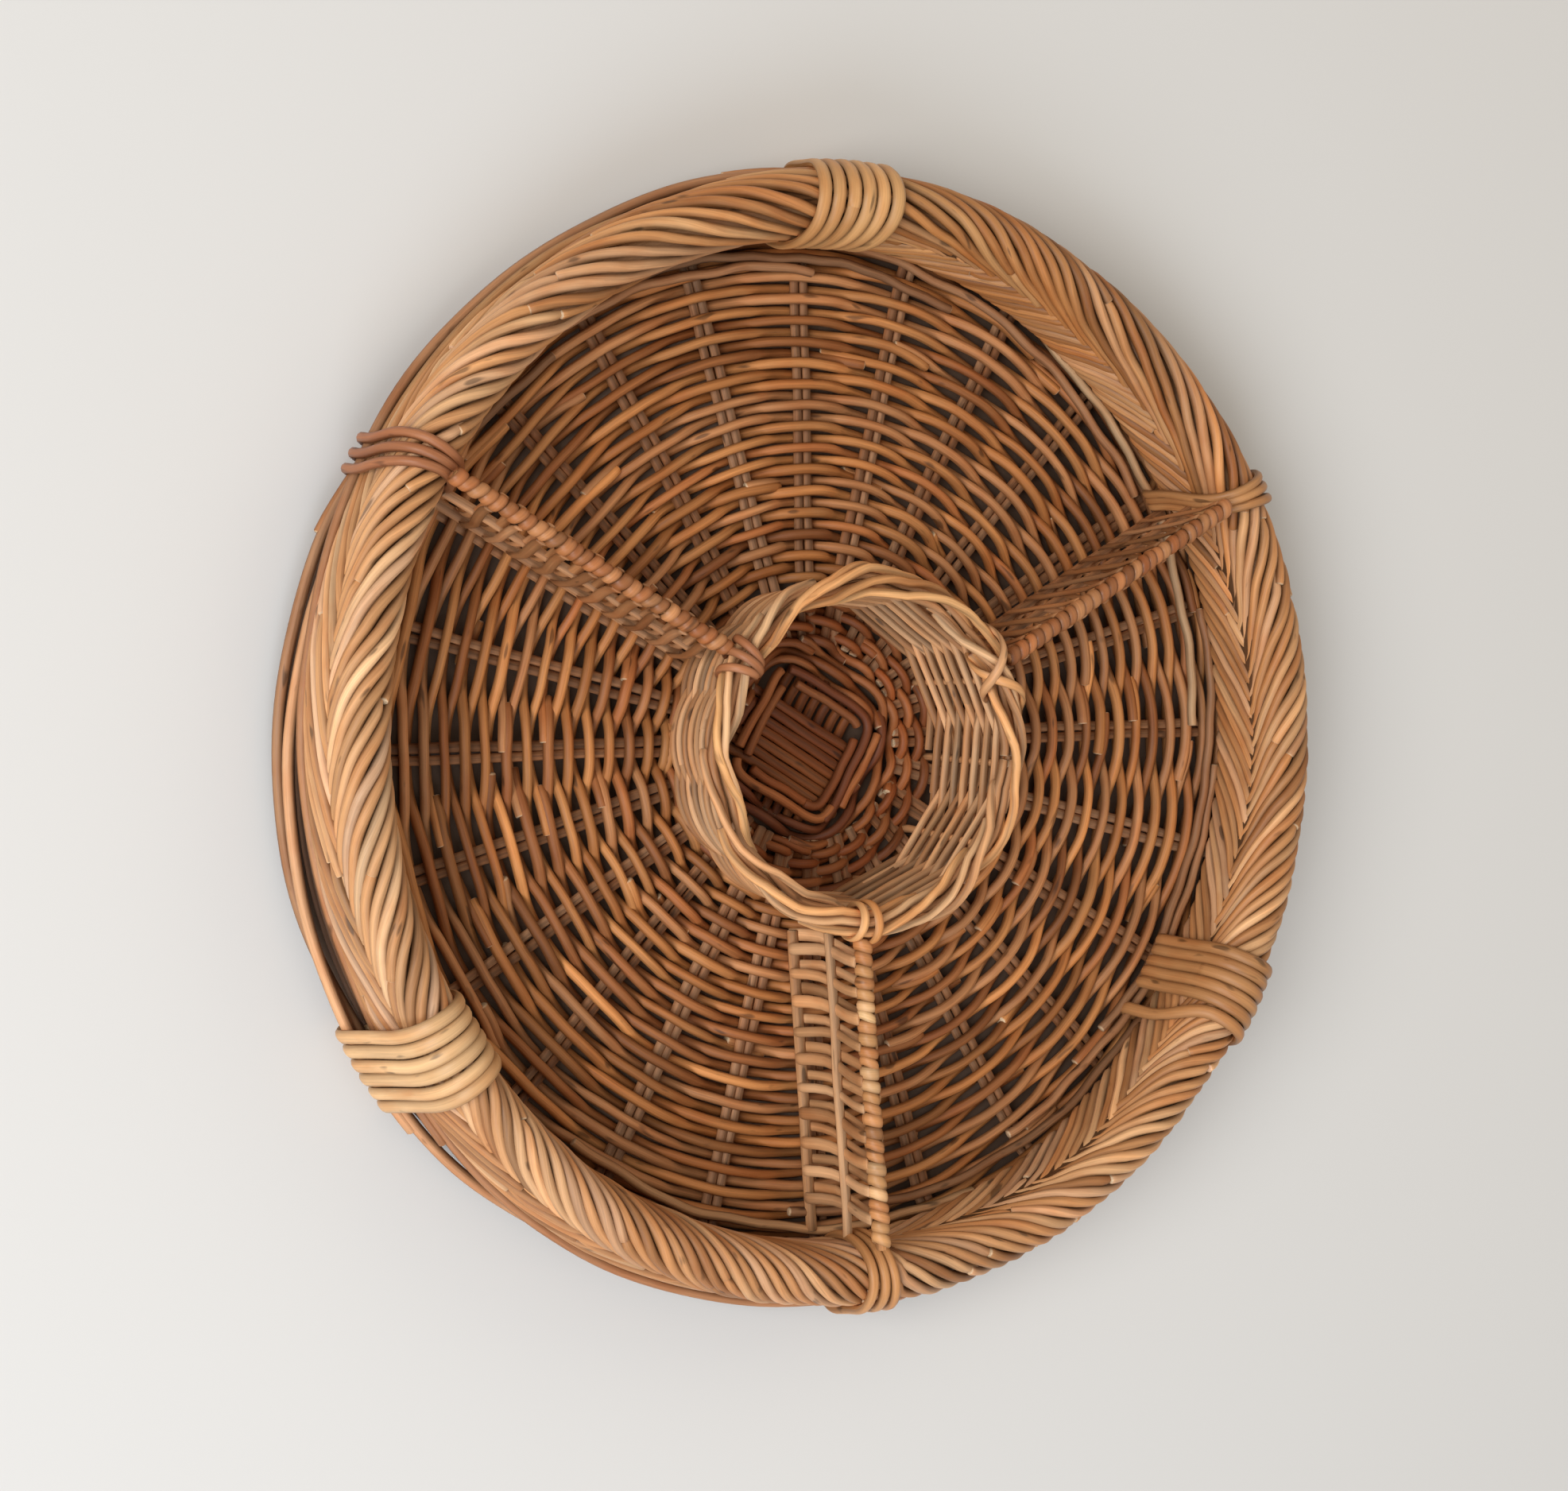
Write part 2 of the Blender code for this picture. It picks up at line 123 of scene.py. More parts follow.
# The lower and the middle wale rod twist round each other; all three stand off on the left.
WALE_PAIR_RADIUS = 207.2 * MM
WALE_PAIR_HEIGHT = (middle_height("side_wale_lower") + middle_height("side_wale_middle")) / 2
WALE_PAIR_BULGE = 10.2 * MM
WALE_PAIR_GAP = 2.75 * MM
WALE_PAIR_SIDES = {"side_wale_lower": 1, "side_wale_middle": -1}
UPPER_WALE_RADIUS = 214.6 * MM
UPPER_WALE_HEIGHT = middle_height("side_wale_upper")
UPPER_WALE_TUCK = 4.0 * MM
WALE_STARTS = {
    "side_wale_lower": (28.0, 151.0, 262.0),
    "side_wale_middle": (88.0, 211.0, 330.0),
    "side_wale_upper": (92.0, 213.0, 300.0),
}
WALE_BULGE_AZIMUTH = 195
WALE_BULGE_SPREAD = 38
WALE_RADIUS = 2.15 * MM
WALE_LAP = 12
SHADED_RING_RADIUS = 201.5 * MM
SHADED_ROD_RADIUS = 2.3 * MM

# ---- colours, as linear light

RIM_TONES = [
    (0.60, 0.30, 0.105), (0.54, 0.255, 0.082), (0.68, 0.385, 0.155),
    (0.47, 0.215, 0.068), (0.64, 0.36, 0.16),
]
WALE_TONES = [(0.46, 0.225, 0.085), (0.40, 0.185, 0.068), (0.52, 0.27, 0.11)]
# Painted shade: the rods behind the wales are coloured as dark as they look in the shade there.
SHADED_ROD = (0.16, 0.075, 0.035)
# Painted shade: the core inside the roll is coloured as dark as it looks through the gaps, in the roll's
# shade.
RIM_CORE_COLOUR = (0.16, 0.075, 0.03)
FLOOR_TONES = [
    (0.43, 0.165, 0.046), (0.35, 0.122, 0.033), (0.54, 0.225, 0.070),
    (0.38, 0.138, 0.042), (0.48, 0.210, 0.080),
]
CUP_FLOOR_TONES = [(0.35, 0.105, 0.027), (0.28, 0.080, 0.020), (0.37, 0.125, 0.037)]
STAKE_TONES = [(0.46, 0.215, 0.095), (0.52, 0.265, 0.130), (0.38, 0.165, 0.068)]
CUP_TONES = [(0.63, 0.330, 0.150), (0.55, 0.275, 0.120), (0.69, 0.395, 0.20)]
BORDER_TONES = [(0.84, 0.43, 0.175), (0.74, 0.34, 0.120), (0.86, 0.51, 0.26), (0.78, 0.41, 0.19)]
STRAW_TONES = [(0.84, 0.52, 0.26), (0.80, 0.49, 0.24)]
GOLD_TONES = [(0.69, 0.375, 0.155), (0.65, 0.35, 0.14)]
TAN_TONES = [(0.50, 0.236, 0.088), (0.45, 0.200, 0.070)]
HOOP_TONES = [(0.61, 0.290, 0.108), (0.55, 0.245, 0.086)]
RED_TONES = [(0.46, 0.185, 0.078), (0.40, 0.155, 0.064)]
RED_BEAD_TONES = [(0.43, 0.165, 0.058), (0.37, 0.135, 0.046), (0.49, 0.215, 0.085)]
PALE_STRIP_TONES = [(0.56, 0.290, 0.130), (0.48, 0.240, 0.105), (0.62, 0.350, 0.175)]
STRIP_TONES = [(0.46, 0.210, 0.085), (0.40, 0.175, 0.070), (0.52, 0.260, 0.120)]
PALE_BEAD_TONES = [(0.64, 0.32, 0.125), (0.52, 0.23, 0.085), (0.72, 0.42, 0.20)]
CORNER_TONES = [(0.46, 0.25, 0.115), (0.54, 0.33, 0.17), (0.34, 0.16, 0.07)]
CUT_END = (0.72, 0.52, 0.32)
STAIN = (0.86, 0.66, 0.50, 1)
GROUND = (0.69, 0.685, 0.67)
# Painted shadow: the colour of the dark patch under the tray.
PAINTED_SHADOW = (0.13, 0.080, 0.052)


def tone(tones, spread=0.10):
    """One strand's colour: a tone from the list, a little lighter or darker."""
    base = np.array(tones[RANDOM.integers(len(tones))])
    return np.clip(base * (1 + spread * RANDOM.standard_normal()), 0.02, 0.9)


# ---- placing and sweeping


def place(radius, azimuth, height):
    """Points in the tray's frame, from arrays of radius, azimuth in degrees and height."""
    turn = np.radians(azimuth)
    radius, turn, height = np.broadcast_arrays(radius, turn, height)
    return np.stack([radius * np.cos(turn), radius * np.sin(turn), height], axis=1)


def out_and_beside(azimuth):
    """The level directions outwards at an azimuth and to the left of that."""
    turn = math.radians(azimuth)
    out = np.array([math.cos(turn), math.sin(turn), 0])
    return out, np.array([-out[1], out[0], 0])


def rounded_square(turn, power):
    """How far out the edge of a square with a half side of 1 lies; a higher power has sharper corners."""
    return (np.abs(np.cos(turn)) ** power + np.abs(np.sin(turn)) ** power) ** (-1 / power)


def unit(vectors):
    return vectors / np.maximum(np.linalg.norm(vectors, axis=1, keepdims=True), 1e-12)


def wander(positions, wavelength, size):
    """A wandering offset along a strand, of about the given size. Both measures are in mm."""
    offset = np.zeros(len(positions))
    for share in (1.0, 0.43):
        phase = draw(0, 2 * math.pi)
        stretch = draw(0.8, 1.25)
        offset += share * np.sin(2 * math.pi * positions * stretch / (wavelength * MM * share) + phase)
    return size * MM * offset / 1.2


def ease(values):
    """0 below 0, 1 above 1, and a smooth slope between."""
    clipped = np.clip(values, 0, 1)
    return clipped * clipped * (3 - 2 * clipped)


def lap(azimuth, size, reach):
    """Moves a rod's first end inwards and its last end outwards, where it laps with its neighbours."""
    first = ease(1 - (azimuth - azimuth[0]) / reach)
    last = ease(1 - (azimuth[-1] - azimuth) / reach)
    return size * (last - first)


def add_object(name, data):
    item = bpy.data.objects.new(name, data)
    bpy.context.scene.collection.objects.link(item)
    return item


def quarters(count):
    """The numbers below count, in four runs."""
    return [range(part * count // 4, (part + 1) * count // 4) for part in range(4)]


class Strands:
    """Rods and strips swept along their paths and gathered into one mesh."""

    # a cut end: its last ring's size as a share of the strand's, and how far out it lies for its thickness
    END_SCALE = 0.8
    END_PUSH = 0.22

    def __init__(self, sides=8):
        self.sides = sides
        self.points = []
        self.tints = []
        self.grains = []
        self.faces = []
        self.count = 0

    def add(self, path, half_width, colour, half_thickness=None, up=(0, 0, 1), pale_ends=True, crevice=0.55):
        """Sweeps one strand.

        up is the direction of its thickness, for the whole path or for each point. The last argument is how
        much darker the strand is painted along its two sides: painted shade, where its neighbours shade it.
        """
        count = len(path)
        half_thickness = half_width if half_thickness is None else half_thickness
        half_width = np.broadcast_to(half_width, (count,))
        thickness = np.broadcast_to(half_thickness, (count,))
        tangent = unit(np.gradient(path, axis=0))
        across = unit(np.cross(tangent, np.broadcast_to(up, (count, 3))))
        lift = np.cross(across, tangent)
        steps = np.linalg.norm(np.diff(path, axis=0), axis=1)
        along = np.concatenate([[0], np.cumsum(steps)])
        angles = 2 * math.pi * np.arange(self.sides) / self.sides
        cosines = np.cos(angles)[None, :, None]
        sines = np.sin(angles)[None, :, None]

        sweep = [0] + list(range(count)) + [count - 1]
        scale = np.array([self.END_SCALE] + [1.0] * count + [self.END_SCALE])[:, None, None]
        push = np.zeros(count + 2)
        push[0] = -self.END_PUSH * thickness[0]
        push[-1] = self.END_PUSH * thickness[-1]
        width = half_width[sweep][:, None, None] * scale
        height = thickness[sweep][:, None, None] * scale
        centre = path[sweep] + tangent[sweep] * push[:, None]
        rings = width * cosines * across[sweep][:, None, :] + height * sines * lift[sweep][:, None, :]
        rings = rings + centre[:, None, :]
        shade = np.tile(np.asarray(colour, float), (count + 2, 1))
        if pale_ends:
            shade[0] = shade[-1] = np.maximum(CUT_END, shade[0])
        start = draw(0, 40, 3)
        lengthwise = (along[sweep] + push)[:, None, None]
        grain = np.broadcast_arrays(width * cosines, height * sines, lengthwise)
        grain = np.concatenate(grain, axis=2) + start

        here = np.arange(self.sides)
        after = (here + 1) % self.sides
        ring = self.count + self.sides * np.arange(count + 1)[:, None]
        following = ring + self.sides
        quads = np.stack([ring + here, following + here, following + after, ring + after], axis=2)
        self.faces.extend(quads.reshape(-1, 4).tolist())
        self.faces.append((ring[0] + here).tolist())
        self.faces.append((following[-1] + here[::-1]).tolist())
        self.points.append(rings.reshape(-1, 3))
        # Painted shade: each strand is darkened towards its two sides, where touching rods would shade it.
        darker = 1 - crevice * (1 - np.abs(np.sin(angles))) ** 0.8
        self.tints.append((shade[:, None, :] * darker[None, :, None]).reshape(-1, 3))
        self.grains.append(grain.reshape(-1, 3))
        self.count += (count + 2) * self.sides

    def finish(self, name, look, nodes):
        """Makes the object, which stands for the named CAD nodes."""
        material, slot = look
        mesh = bpy.data.meshes.new(name)
        mesh.from_pydata(np.concatenate(self.points).tolist(), [], self.faces)
        tints = np.insert(np.concatenate(self.tints), 3, 1, axis=1)
        tint = mesh.attributes.new("tint", "FLOAT_COLOR", "POINT")
        tint.data.foreach_set("color", tints.astype(np.float32).ravel())
        grain = mesh.attributes.new("grain", "FLOAT_VECTOR", "POINT")
        grain.data.foreach_set("vector", np.concatenate(self.grains).astype(np.float32).ravel())
        mesh.materials.append(material)
        mesh.shade_smooth()
        mesh.set_sharp_from_angle(angle=math.radians(50))
        piece = add_object(name, mesh)
        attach(piece, "root")
        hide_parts(*nodes)


# ---- materials


def wicker_material(name, roughness, streak_strength, bump_depth):
    """Peeled rod or cane: its tint, with the painted shade and light of the strands in it, long fibre
    streaks, stains, knots and fine ridges.
    """
    material = bpy.data.materials.new(name)
    material.use_nodes = True
    nodes = material.node_tree.nodes
    links = material.node_tree.links
    shader = nodes["Principled BSDF"]

    def fill(node, inputs):
        """Sets a node's inputs, or joins them to other nodes' outputs."""
        for key, value in inputs.items():
            if isinstance(value, bpy.types.NodeSocket):
                links.new(value, node.inputs[key])
            else:
                node.inputs[key].default_value = value

    def add_node(kind, inputs, **settings):
        node = nodes.new("ShaderNode" + kind)
        for key, value in settings.items():
            setattr(node, key, value)
        fill(node, inputs)
        return node

    def scaled_noise(scale, detail):
        mapping = add_node("VectorMath", {0: grain, 1: scale}, operation="MULTIPLY")
        inputs = {"Vector": mapping.outputs[0], "Scale": 1, "Detail": detail, "Roughness": 0.6}
        return add_node("TexNoise", inputs).outputs["Fac"]

    def spread(value, low, high, low_to, high_to):
        inputs = {"Value": value, "From Min": low, "From Max": high, "To Min": low_to, "To Max": high_to}
        return add_node("MapRange", inputs).outputs["Result"]

    def multiply(first, second):
        return add_node("Math", {0: first, 1: second}, operation="MULTIPLY").outputs[0]

    tint = add_node("Attribute", {}, attribute_name="tint").outputs["Color"]
    grain = add_node("Attribute", {}, attribute_name="grain").outputs["Vector"]

    # how fine each is: twice across the rod, then along it
    streaks = scaled_noise((1500, 1500, 45), 3)
    stains = scaled_noise((90, 90, 38), 3)
    patches = scaled_noise((30, 30, 11), 2)
    knots = scaled_noise((260, 260, 70), 1)

    light = spread(streaks, 0.3, 0.7, 1 - streak_strength, 1 + streak_strength)
    light = multiply(light, spread(patches, 0.3, 0.7, 0.84, 1.14))
    light = multiply(light, spread(knots, 0.69, 0.76, 1.0, 0.42))
    shaded = add_node("VectorMath", {0: tint, "Scale": light}, operation="SCALE")
    stained = spread(stains, 0.45, 0.72, 0.0, 0.75)
    inputs = {"Factor": stained, "A": shaded.outputs[0], "B": STAIN}
    stain = add_node("Mix", inputs, data_type="RGBA", blend_type="MULTIPLY")
    bump = add_node("Bump", {"Strength": 0.6, "Distance": bump_depth, "Height": streaks})
    fill(shader, {
        "Base Color": stain.outputs["Result"],
        "Roughness": spread(streaks, 0.25, 0.75, roughness - 0.08, roughness + 0.12),
        "Specular IOR Level": 0.35,
        "Normal": bump.outputs["Normal"],
    })
    return material


# A look is a material and the name of a slot, which the script does not use.
RIM_LOOK = (wicker_material("rim_willow_rods", 0.50, 0.16, 0.25 * MM), "rim_willow")
FLOOR_LOOK = (wicker_material("floor_willow_rods", 0.55, 0.20, 0.25 * MM), "floor_willow")
STAKE_LOOK = (wicker_material("stake_willow_rods", 0.62, 0.24, 0.3 * MM), "stake_willow")
CUP_LOOK = (wicker_material("cup_willow_rods", 0.55, 0.18, 0.25 * MM), "cup_willow")
CANE_LOOK = (wicker_material("binding_cane_strips", 0.42, 0.12, 0.18 * MM), "binding_cane")
CORE_LOOK = (RIM_LOOK[0], "stake_willow")


# ---- rim roll


# Where the roll strays from a true ring: azimuth, how far it lies outwards in mm, and its girth.
RIM_SHAPE = [
    (0, 2.3, 0.98), (20, 2.3, 0.98), (40, 1.8, 1.0), (60, 1.0, 1.0), (75, 1.9, 1.0),
    (98, 2.2, 0.95), (112, 1.0, 0.87), (128, 1.4, 0.87), (150, 2.2, 0.94), (175, 0.9, 1.0),
    (205, -0.8, 1.0), (222, -0.8, 0.97), (236, 0.3, 0.97), (250, -0.3, 0.95), (266, 0.6, 0.84),
    (280, 1.7, 0.94), (300, 2.4, 0.97), (320, 1.5, 1.0), (340, 2.2, 0.99),
]
# How the rods' colour differs round the rim: azimuth, and factors for red, green and blue. Partly the rods'
# own colour, partly painted light and shade: lighter and bluer on the left, towards the window and the cool
# light, darker and redder at the top right, away from them.
RIM_TONE_AND_LIGHT = [
    (45, 0.90, 0.80, 0.80), (80, 0.85, 0.75, 0.70), (120, 1.1, 1.05, 1.15),
    (190, 1.1, 1.2, 1.6), (240, 1.0, 0.95, 1.1), (330, 1.1, 1.1, 1.3),
]


def round_the_rim(rows, azimuth):
    """What each column of a rim table comes to at the azimuth."""
    azimuths, *columns = zip(*rows)
    return [np.interp(azimuth, azimuths, column, period=360) for column in columns]


def rim_shift(azimuth):
    return round_the_rim(RIM_SHAPE, azimuth)[0] * MM


def rim_girth(azimuth):
    return round_the_rim(RIM_SHAPE, azimuth)[1]


# Partly the rods' own colour, partly painted light and shade, from the table above.
def rim_tone_and_light(colour, azimuth):
    return colour * np.array(round_the_rim(RIM_TONE_AND_LIGHT, azimuth))


def signed_power(values, power):
    return np.sign(values) * np.abs(values) ** power


def way_along(x, y):
    """The distance gone at each point of a flat line."""
    return np.concatenate([[0], np.cumsum(np.hypot(np.diff(x), np.diff(y)))])


def section_table():
    """Section angles round the roll, the way round to each, and there the rods' middle line and normal."""
    degrees = np.arange(-300, 480.01, 0.25)
    half_width = RIM_HALF_WIDTH - RIM_ROD_RADIUS
    half_height = RIM_HALF_HEIGHT - RIM_ROD_RADIUS
    lower_inner = (np.mod(degrees, 360) > 180) & (np.mod(degrees, 360) < 270)
    power = 2 / np.where(lower_inner, RIM_CORNER_POWER, 2)
    cosine = np.cos(np.radians(degrees))
    sine = np.sin(np.radians(degrees))
    out = half_width * signed_power(cosine, power)
    up = half_height * signed_power(sine, power)
    way = way_along(out, up)
    normal_out = signed_power(cosine, 2 - power) / half_width
    normal_up = signed_power(sine, 2 - power) / half_height
    length = np.hypot(normal_out, normal_up)
    return degrees, way - np.interp(0, degrees, way), out, up, normal_out / length, normal_up / length


SECTION_DEGREES, SECTION_WAY, *SECTION_CURVES = section_table()


def way_to(degrees):
    return np.interp(degrees, SECTION_DEGREES, SECTION_WAY)


def section_at(way, depth):
    """Offsets out and up of a rod's middle at a depth under the surface, and the normal out and up."""
    out, up, normal_out, normal_up = (np.interp(way, SECTION_WAY, curve) for curve in SECTION_CURVES)
    return out - depth * normal_out, up - depth * normal_up, normal_out, normal_up


# For each half of the rim: how far round from the top binding, in degrees, and there the section angle
# of the seam where the two courses meet, and how steeply each course crosses the rim on average.
RIM_HALVES = {
    "left": {
        "direction": 1,
        "length": 181.3,
        "seam": [(0, -35), (25, -25), (45, 0), (61, 8), (69, 13), (78, 25), (100, 25), (116, 30), (128, 40),
                 (146, 34), (157, 20), (165, 5), (172, -15), (185, -35)],
        "inner_slope": [(0, 16), (20, 19), (45, 26), (70, 28), (95, 26), (130, 29), (181, 27)],
        "outer_slope": [(0, 12), (60, 14), (120, 16), (150, 20), (181, 20)],
    },
    "right": {
        "direction": -1,
        "length": 178.7,
        "seam": [(0, 180), (12, 165), (26, 162), (35, 165), (48, 166), (72, 166), (84, 160), (97, 158),
                 (107, 166), (116, 168), (134, 164), (145, 150), (153, 150), (165, 165), (180, 185)],
        "inner_slope": [(0, 22), (14, 25), (21, 35), (28, 46), (37, 44), (44, 30), (54, 34), (77, 25),
                        (92, 31), (105, 26), (140, 26), (180, 25)],
        "outer_slope": [(0, 18), (10, 21), (18, 28), (26, 28), (31, 24), (41, 15), (52, 16), (71, 23),
                        (81, 30), (97, 29), (109, 28), (120, 36), (132, 34), (155, 27), (180, 22)],
    },
}
PLAIT_MEAN_SLOPE = 27
PLAIT_SPACING = 8.2 * MM
PLAIT_STEP = 1.7 * MM
PLAIT_HIDDEN_LENGTH = 14 * MM
PLAIT_LONGEST = 120 * MM
PLAIT_BEND = 55 * MM
PLAIT_GRID = 0.5
PLAIT_FIRST_RISE = math.tan(math.radians(16))
PLAIT_LAST_RISE = math.tan(math.radians(40))
PLAIT_TUCK_RISE = math.tan(math.radians(26))
PLAIT_END_ANGLES = {"outer": -118, "inner": 246}

# Where each course starts to dive under the other, beyond the seam, and how deep.
TUCKS = {
    ("left", "outer"): (3.5 * MM, 4.6 * MM),
    ("left", "inner"): (1.5 * MM, 3.6 * MM),
    ("right", "outer"): (-2.0 * MM, 4.2 * MM),
    ("right", "inner"): (4.0 * MM, 4.2 * MM),
}
PLAIT_OVERRUN = 40


def plait_climb(distance):
    """How far round the section a rod is from the seam, at a distance along the rim: it steepens."""
    bent = np.clip(distance, 0, PLAIT_BEND)
    climb = PLAIT_FIRST_RISE * bent + (PLAIT_LAST_RISE - PLAIT_FIRST_RISE) * bent**2 / (2 * PLAIT_BEND)
    climb += PLAIT_LAST_RISE * np.maximum(distance - PLAIT_BEND, 0)
    return climb + PLAIT_TUCK_RISE * np.minimum(distance, 0)


def course_lines(half, course):
    """For each rod of a course: places round the rim, ways round the section and ways beyond the seam."""
    shape = RIM_HALVES[half]
    grid = np.arange(-1.5, shape["length"] + PLAIT_OVERRUN, PLAIT_GRID)
    slope = np.interp(grid, *zip(*shape[f"{course}_slope"]))
    stretch = np.tan(np.radians(slope)) / math.tan(math.radians(PLAIT_MEAN_SLOPE))
    reached = np.concatenate([[0], np.cumsum(stretch[:-1] * math.radians(PLAIT_GRID) * RIM_RADIUS)])
    far = way_to(PLAIT_END_ANGLES[course])
    side = -1 if course == "outer" else 1
    distance = np.arange(-PLAIT_HIDDEN_LENGTH, PLAIT_LONGEST, PLAIT_STEP)
    beyond = plait_climb(distance)
    lines = []
    for start in np.arange(0, reached[-1], PLAIT_SPACING):
        along = start + draw(-0.45, 0.45) * MM - distance
        places = np.interp(along, reached, grid)
        way = way_to(np.interp(places, *zip(*shape["seam"]))) + side * beyond
        inside = (along > 0) & (places < shape["length"] + 1.5) & (way * side < far * side)
        if inside.sum() > 6:
            lines.append((places[inside], way[inside], beyond[inside]))
    return lines


def rim_course(half, course):
    shape = RIM_HALVES[half]
    tuck_from, tuck_depth = TUCKS[half, course]
    strands = Strands()

    def add_rod(places, way, beyond, thickness, dip):
        """dip is how deep the rod's end goes, so that it hides below another."""
        depth = tuck_depth * ease((tuck_from - beyond) / (7 * MM))
        depth = depth + 2.0 * MM * (1 - np.clip(beyond / (13 * MM), 0, 1)) + draw(-0.2, 0.3) * MM
        count = len(places)
        depth = depth + dip * ease((np.arange(count) - count + 6) / 5)
        length = np.radians(places) * RIM_RADIUS
        way = way + wander(length, 50, 0.35)
        out, up, normal_out, normal_up = section_at(way, depth)
        azimuth = TOP_AZIMUTH + shape["direction"] * places
        girth = rim_girth(azimuth)
        path = place(RIM_RADIUS + rim_shift(azimuth) + out * girth, azimuth, RIM_HEIGHT + up * girth)
        colour = rim_tone_and_light(tone(RIM_TONES, 0.12), float(azimuth.mean()))
        strands.add(path, thickness, colour, up=place(normal_out, azimuth, normal_up), crevice=0.62)

    for places, way, beyond in course_lines(half, course):
        thickness = RIM_ROD_RADIUS * draw(0.92, 1.06)
        if RANDOM.random() < 0.25 and len(places) > 24:
            splice = int(draw(0.3, 0.65) * len(places))
            add_rod(places[:splice], way[:splice], beyond[:splice], thickness, 2.4 * MM)
            add_rod(places[splice - 3 :], way[splice - 3 :], beyond[splice - 3 :], thickness * 0.95, 0.0)
        else:
            add_rod(places, way, beyond, thickness, 0.0)
    return strands


def make_rim():
    for course in ("outer", "inner"):
        for half in ("left", "right"):
            strands = rim_course(half, course)
            strands.finish(f"rim_rods_{course}_{half}", RIM_LOOK, [f"rim_plait_{course}"])
    core = Strands(24)
    azimuths = np.linspace(0, 359.9, 145)
    path = place(RIM_RADIUS, azimuths, RIM_HEIGHT)
    core.add(path, RIM_CORE_HALF_WIDTH, RIM_CORE_COLOUR, RIM_CORE_HALF_HEIGHT)
    core.finish("rim_core", CORE_LOOK, ["rim_core_hoop"])


# ---- wale rods round the outside


def wale_bulge(azimuth):
    """1 where the wale rods stand off most, falling to 0 away from there."""
    turned = np.mod(azimuth - WALE_BULGE_AZIMUTH + 180, 360) - 180
    return np.exp(-((turned / WALE_BULGE_SPREAD) ** 2))


def wale_place(name, azimuth):
    """The radius and the height of a wale rod's middle."""
    bulge = wale_bulge(azimuth)
    if name == "side_wale_upper":
        radius = UPPER_WALE_RADIUS - UPPER_WALE_TUCK * bulge + 0.7 * rim_shift(azimuth)
        return radius, UPPER_WALE_HEIGHT - 0.3 * UPPER_WALE_TUCK * bulge
    gap = WALE_PAIR_SIDES[name] * WALE_PAIR_GAP
    twist = np.radians(3 * azimuth - 130)
    radius = WALE_PAIR_RADIUS + WALE_PAIR_BULGE * bulge + gap * np.cos(twist)
    return radius, WALE_PAIR_HEIGHT - gap * np.sin(twist)


def add_wale_rods(strands, name):
    """The three rods of one wale, end to end round the tray, with their ends side by side."""
    starts = WALE_STARTS[name]
    for i, start in enumerate(starts):
        end = starts[(i + 1) % 3] + (360 if i == 2 else 0) + WALE_LAP
        azimuth = np.arange(start, end, 1.5)
        length = np.radians(azimuth) * RIM_RADIUS
        radius, level = wale_place(name, azimuth)
        beside = ease(1 - (azimuth - start) / WALE_LAP) - ease(1 - (end - azimuth) / WALE_LAP)
        radius = radius - 1.3 * MM * beside + wander(length, 150, 0.5)
        level = level + 0.8 * MM * beside + wander(length, 170, 0.4)
        colour = rim_tone_and_light(tone(WALE_TONES), float(azimuth.mean()))
        path = place(radius, azimuth, level)
        strands.add(path, WALE_RADIUS, colour, up=place(1, azimuth, 1), crevice=0.7)


def add_tucked_rod(strands):
    """On the left, a rod that closes the slit between the upper wale and the roll."""
    first, last = 96, 262
    azimuth = np.arange(first, last, 1.5)
    radius, level = wale_place("side_wale_upper", azimuth)
    inward = np.interp(azimuth, [first, 125, 235, last], [7.0, 2.2, 2.2, 7.0]) * MM
    path = place(radius - inward, azimuth, level + 4.0 * MM)
    strands.add(path, 2.1 * MM, tone(WALE_TONES) * 0.85, up=place(1, azimuth, 1), crevice=0.7)


def add_shaded_rods(strands):
    """Rods behind the wales, painted dark as shade, so that no light shows through under the roll."""
    azimuth = np.arange(0, 361, 3.0)
    for level, bulged in ((5.5, 7.0), (10.5, 7.0), (15.5, 0), (20.5, 0)):
        radius = SHADED_RING_RADIUS + bulged * MM * wale_bulge(azimuth)
        path = place(radius, azimuth, level * MM)
        strands.add(path, SHADED_ROD_RADIUS, SHADED_ROD, up=place(1, azimuth, 0))


def make_wales():
    for name in WALE_STARTS:
        strands = Strands(10)
        add_wale_rods(strands, name)
        if name == "side_wale_upper":
            add_tucked_rod(strands)
        if name == "side_wale_middle":
            add_shaded_rods(strands)
        strands.finish(name + "_rods", RIM_LOOK, [name])


# ---- bindings and hoops round the rim


LOOP_POINTS = 57


